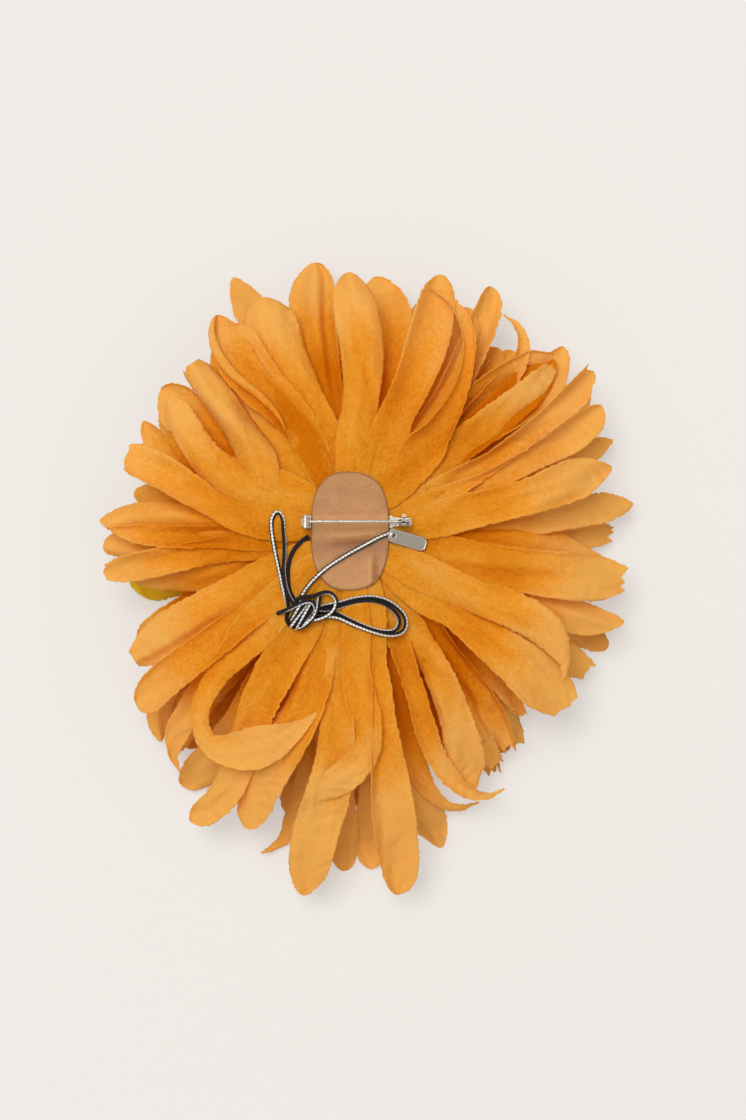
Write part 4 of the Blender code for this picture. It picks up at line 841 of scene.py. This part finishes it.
def petalGrid(layer, line, change, seed):
    # a point is the middle line's, plus the section's across it; its height is the layer's, the section's and the lift,
    # with waves, crinkles and a ruffle; the tone carries painted light and shade, paling outwards and along the edges
    p, make, look = {**petalUsual, **change}, petalMake, layers[layer]
    rng = np.random.default_rng(seed)
    line, run, closing = petalLine(line, p["tip"])
    middle, lift, rows, reach = line[:, :2], line[:, 3], len(run), run[-1]
    width = 1.02 * line[:, 2] + make["foot"] * smoothstep(44, 24, run) * smoothstep(4, 12, run)
    tangent = unit(np.gradient(middle, run, axis=0))
    across = np.stack([-tangent[:, 1], tangent[:, 0]], 1)
    start, free, tipward = smoothstep(*make["stiff"], run), smoothstep(*make["free"], run), run / reach
    fray = rng.standard_normal((2, rows))
    fray = make["fray"] * (fray + 0.4 * np.roll(fray, 1, 1)) * smoothstep(10, 20, run)
    wander = make["wander"] * width * np.sin(run / 11 + rng.uniform(0, 6, (2, 1))) * start
    halves = np.maximum((width / 2 + wander) * closing + fray * np.minimum(1, 3 * closing), 0.3)
    v = np.linspace(-1, 1, look["columns"] + 1)
    lateral, flat, high = petalSection(p, look["bowl"], v, halves, start[:, None], free[:, None], rng)
    spot = middle[:, None] + across[:, None] * flat[:, :, None]
    teeth = p["jag"] * np.interp(v, np.linspace(-1, 1, 6), rng.uniform(-1, 0.4, 6))
    spot = spot + tangent[:, None] * teeth[None, :, None] * smoothstep(9, 0, reach - run)[:, None, None]
    waves, crinkle, ruffle = petalWaves(v, run, lateral, rng)
    crumpled = (p["wave"] * waves * (0.35 + 0.65 * tipward[:, None])
                + make["crinkle"] * crinkle * smoothstep(0.4, 0.8, tipward[:, None]) + p["ruffle"] * ruffle)
    risen = lift + look["arch"] * smoothstep(*make["rise"], run) * (1 - 0.4 * smoothstep(0.75, 1, tipward))
    far = np.linalg.norm(spot, axis=2)
    height = layerHeight(layer, far) + high + crumpled * start[:, None] + risen[:, None]
    grid = np.concatenate([spot, np.maximum(height, make["lowest"] - 0.3)[..., None]], 2)
    uv = np.stack([np.repeat(run[:, None], len(v), 1), lateral + 30], 2)
    # the tone: painted glow at the tip and far out, painted highlight at the edges, painted light and shade with the
    # waves
    t, tip = petalToneAndPaintedLight, smoothstep(0.45, 1, tipward)[:, None]
    tone = p["tone"] + t["all"] + t["tip"] * tip + rng.uniform(-t["chance"], t["chance"]) + np.zeros_like(far)
    # painted shade: lower layers are darker near the core, where the petals above shade them
    tone = tone + look["shade"] * (1 - smoothstep(32, 84, run))[:, None]
    edges, outer = smoothstep(0.86, 1.0, np.abs(v))[None], smoothstep(66, 100, run)[:, None]
    tone = tone + t["edges"] * edges + t["waves"] * waves + t["outer"] * outer
    area = float((halves.sum(0)[1:] * np.diff(run)).sum())
    return (grid, uv, tone), area, reach


def makeSprays():
    for layerNumber, (layer, rows) in enumerate(sprays.items()):
        cloth, slot = (golden, "golden_fabric") if layer == "golden" else (orange, "orange_fabric")
        for number, petals in enumerate(rows):
            grids, area, reach = [], 0, 0
            for i, (line, change) in enumerate(petals):
                if layer != "golden":  # spokes are given in their true places
                    line = truePlaces(layer, line)
                (grid, uv, tone), flat, length = petalGrid(layer, line, change, 100 * layerNumber + 10 * number + i)
                grid[..., 2] += petalMake["over"] * i + petalMake["stagger"] * (number % 2)
                grids.append((grid, uv, tone))
                area, reach = area + flat, max(reach, length)
            name = f"petalSpray{layer.capitalize()}{number + 1}"
            piece = makePiece(name, grids, cloth, "flower", thickness=petalMake["thick"])
            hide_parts(f"petals_{layer}_{number + 1}")


makeSprays()
print("petals made")

# leather patch: mm from the hub
patch = {
    "half": (13.8, 20.8), "power": 2.6, "bottom": -1.25, "drop": 0.42,  # drop: how far the rim falls
    "bar": (3.2, 0.42),  # where the pin's bar lies below the leather, and how far it lifts it
    "across": [  # folds across: height, middle, slant, breadth, then the middle and breadth of the part that shows
        (0.45, -1.6, 0.06, 1.0, (1, 9)), (-0.55, -4.8, 0.05, 1.3, (0, 8))],
    "down": [  # folds down: the same, but ending in the heights where they begin and are full
        (0.60, 7.0, 0, 1.2, (-7, -12)), (-0.62, 9.0, 0, 0.9, (-8, -13))],
    "dents": [(0.12, 9.6, -0.3, 2.4), (-0.12, 13.2, -0.2, 2.2)],
}


def makePatch():
    # rings of a superellipse |x/a|^p + |y/b|^p = 1, shrunk towards the middle; height is a flat face with folds as
    # gaussian ridges, lifted over the bar and rounded off at the rim; the wall and the underside close it
    turns = np.linspace(0, 2 * math.pi, 220, endpoint=False)
    c, s = np.cos(turns), np.sin(turns)
    e = 2 / patch["power"]
    outline = np.stack([np.sign(w) * np.abs(w) ** e * half for w, half in zip((c, s), patch["half"])], 1)
    outline *= (1 + 0.006 * np.sin(3 * turns + 1) + 0.004 * np.sin(7 * turns + 2))[:, None]
    shrink = np.concatenate([[0.02], np.linspace(0.06, 0.94, 60), 1 - np.linspace(0.055, 0, 10)])[:, None]
    x, y = shrink * outline[None, :, 0], shrink * outline[None, :, 1]
    barY, lifted = patch["bar"]
    z = lifted * smoothstep(3.1, 1.7, np.abs(y - barY)) * smoothstep(15.5, 13, np.abs(x))
    for tall, middle, slant, breadth, (at, width) in patch["across"]:
        z = z + tall * bell(y, middle + slant * x, breadth) * bell(x, at, width)
    for tall, middle, slant, breadth, ends in patch["down"]:
        z = z + tall * bell(x, middle + slant * y, breadth) * smoothstep(*ends, y)
    for tall, middle, slant, breadth in patch["dents"]:
        z = z + tall * bell(y, middle + slant * x, breadth)
    z = z + 0.12 * bell(x, -6 + 0.1 * y, 1.5)
    z = z + 0.03 * np.sin(x * 0.9 + y * 0.5) + 0.02 * np.sin(y * 1.1 - x * 0.8)
    rim = smoothstep(0.955, 1.0, shrink)
    z = z * (1 - rim) - patch["drop"] * rim ** 1.6
    face = np.stack([x, y, z], 2)
    under = np.stack([x[::-1], y[::-1], np.full_like(x, patch["bottom"])], 2)
    grid = np.concatenate([face, under])[::-1]
    uv = np.concatenate([grid[..., :2], grid[:, :1, :2]], 1)
    # paler towards the lower end; painted light on the folds, paler the higher the face rises; painted shade in the
    # hollow below the bar, beside the fold and at the rim
    shade = 0.36 + 0.25 * smoothstep(-5, -13, y) + 0.9 * z + 0.04 * smoothstep(-6, 8, y)
    shade = shade - 0.34 * bell(y, -6, 3.5) - 0.3 * rim - 0.3 * bell(x, 9, 1.6) * smoothstep(-6, -13, y)
    tone = np.concatenate([shade, np.zeros_like(z)])[::-1]
    piece = makePiece("leatherPatch", [(grid, uv, tone)], leather, "flower", around=True)
    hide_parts("leather_patch")


makePatch()
print("patch made")

# tag: a plain metal plate on a thread; mm and degrees
tag = {"hole": (15.1, -1.6, 1.9), "turn": -16.6, "tilt": 18, "ends": (-1.8, 12.6), "width": 4.9, "corner": 1.8,
       "thick": 0.8, "eye": 0.75, "lip": 0.38, "rim": 0.4, "sunk": 0.12}


def makeTag():
    # the outline is four arcs, their radius less by the inset; rings run from the eye's wall over its lip, across the
    # sunk face, over the rim and down the outer wall, then back underneath
    quarter = np.radians(np.linspace(0, 90, 10))
    top, low, floor = tag["thick"] / 2, -tag["thick"] / 2, tag["thick"] / 2 - tag["sunk"]
    inner = tag["rim"] + 0.1  # where the rim meets the sunk face

    def outline(inset):
        x, y, r = tag["ends"][1] - tag["corner"], tag["width"] / 2 - tag["corner"], tag["corner"] - inset
        left = tag["ends"][0] + tag["corner"]
        corners = [np.array(c) + r * np.stack([np.cos(quarter + k * math.pi / 2), np.sin(quarter + k * math.pi / 2)], 1)
                   for k, c in enumerate(((x, y), (left, y), (left, -y), (x, -y)))]
        sides = [np.linspace(corners[k][-1], corners[(k + 1) % 4][0], 14)[1:-1] for k in range(4)]
        return np.concatenate([part for pair in zip(corners, sides) for part in pair])

    def eye(wider):
        return (tag["eye"] + wider) * outline(0) / np.linalg.norm(outline(0), axis=1)[:, None]

    rings = [(eye(0), low), (eye(0), top - 0.1), (eye(0.08), top), (eye(0.3), top), (eye(tag["lip"]), floor)]
    rings += [((1 - share) * eye(tag["lip"]) + share * outline(inner), floor) for share in np.linspace(0.06, 0.94, 12)]
    rings += [(outline(inner), floor), (outline(tag["rim"] + 0.02), floor + 0.02)]
    for a in np.radians(np.linspace(150, 0, 7)):
        rings.append((outline(tag["rim"] * (0.5 - 0.5 * math.cos(a))), top - 0.2 + 0.2 * math.sin(a)))
    rings += [(outline(0), low + 0.1), (outline(0.1), low), (eye(0), low)]
    flat = np.stack([np.concatenate([ring, np.full((len(ring), 1), z)], 1) for ring, z in rings])
    turn, tilt = math.radians(tag["turn"]), math.radians(tag["tilt"])
    lean = np.array([[math.cos(tilt), 0, math.sin(tilt)], [0, 1, 0], [-math.sin(tilt), 0, math.cos(tilt)]])
    swing = np.array([[math.cos(turn), -math.sin(turn), 0], [math.sin(turn), math.cos(turn), 0], [0, 0, 1]])
    grid = (flat @ lean.T @ swing.T + tag["hole"])[::-1]
    uv = np.concatenate([flat[::-1, :, :2], flat[::-1, :1, :2]], 1)
    piece = makePiece("tagPlate", [(grid, uv, 0.5)], tagFinish, "flower", around=True)
    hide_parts("tag")


makeTag()
print("tag made")

cadFinishes = {"pin_bar": nickel, "hinge_rivet": nickel, "pin_stem": nickel, "catch_roller": nickel,
               "tag_thread": threadFinish, "core": podFinish, "seed_head": podFinish, "stamen_crown": stamenFinish}


def dressCadNodes():
    for name, finish in cadFinishes.items():
        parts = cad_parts[name]
        for part in parts if isinstance(parts, (list, tuple)) else [parts]:
            for slot in part.material_slots:
                slot.material = finish


dressCadNodes()

# floor and light
room = {
    "floor": (0.76, 0.753, 0.732),
    "shown": (0.87, 0.845, 0.80),  # the ground behind everything, as the camera, metal and glass see it
    "paled": 0.5,  # share of it laid over the floor's own colour, for the camera alone, so that it lights nothing
    "sky": 0.47, "skyTint": (1.0, 0.985, 0.955),
    "overhead": (0.16, 0.13, 0.10),  # what metal mirrors from straight above
    "lampTint": (1.0, 0.985, 0.96),
    "lamps": {"key": (160, 2.3, (-900, 1250, 4500)), "fill": (12, 2.4, (1800, -1600, 3800))},  # W, m across, mm
}


def makeFloor():
    mesh = bpy.data.meshes.new("floor")
    mesh.from_pydata([(-6, -6, 0), (6, -6, 0), (6, 6, 0), (-6, 6, 0)], [], [(0, 1, 2, 3)])
    floor = newObject("floor", mesh)
    material, tree = newMaterial("pale paper")
    tree.dress(Base_Color=room["floor"], Roughness=0.9, Specular_IOR_Level=0.1)
    seen = tree.add("LightPath").outputs["Is Camera Ray"]
    tree.layOver(tree.calc("MULTIPLY", seen, room["paled"]), tree.add("Emission", Color=room["shown"]))
    mesh.materials.append(material)


def makeSky():
    world = bpy.data.worlds.new("studio")
    world.use_nodes = True
    bpy.context.scene.world = world
    tree = Tree(world.node_tree)
    rays = tree.add("LightPath").outputs
    mirrored = tree.calc("MAXIMUM", rays["Is Glossy Ray"], rays["Is Transmission Ray"])
    seen = tree.calc("MAXIMUM", rays["Is Camera Ray"], mirrored)
    colour = tree.blend(seen, tuple(room["sky"] * c for c in room["skyTint"]), room["shown"])
    way = tree.add("SeparateXYZ", Vector=tree.add("TexCoord").outputs["Generated"]).outputs
    overhead = tree.calc("POWER", tree.calc("MAXIMUM", way[2], 0.0), 3.0)
    dim = tree.calc("MULTIPLY", tree.calc("MULTIPLY", overhead, 0.5), rays["Is Glossy Ray"])
    back = tree.nodes["Background"].inputs
    tree.feed(back["Strength"], 1)
    tree.feed(back["Color"], tree.blend(dim, colour, room["overhead"]))


def makeLamps():
    # each lamp is turned to face the hub
    for name, (power, size, spot) in room["lamps"].items():
        data = bpy.data.lights.new(name, "AREA")
        data.energy, data.size, data.color = power, size, room["lampTint"]
        lamp = newObject(name, data)
        lamp.location = inFrame(spot)
        toward = -np.asarray(spot, float)
        lamp.rotation_euler = (math.atan2(math.hypot(*toward[:2]), -toward[2]), 0, math.atan2(-toward[0], toward[1]))


makeFloor()
makeSky()
makeLamps()
bpy.context.scene.view_settings.view_transform = "Standard"
print("room lit")
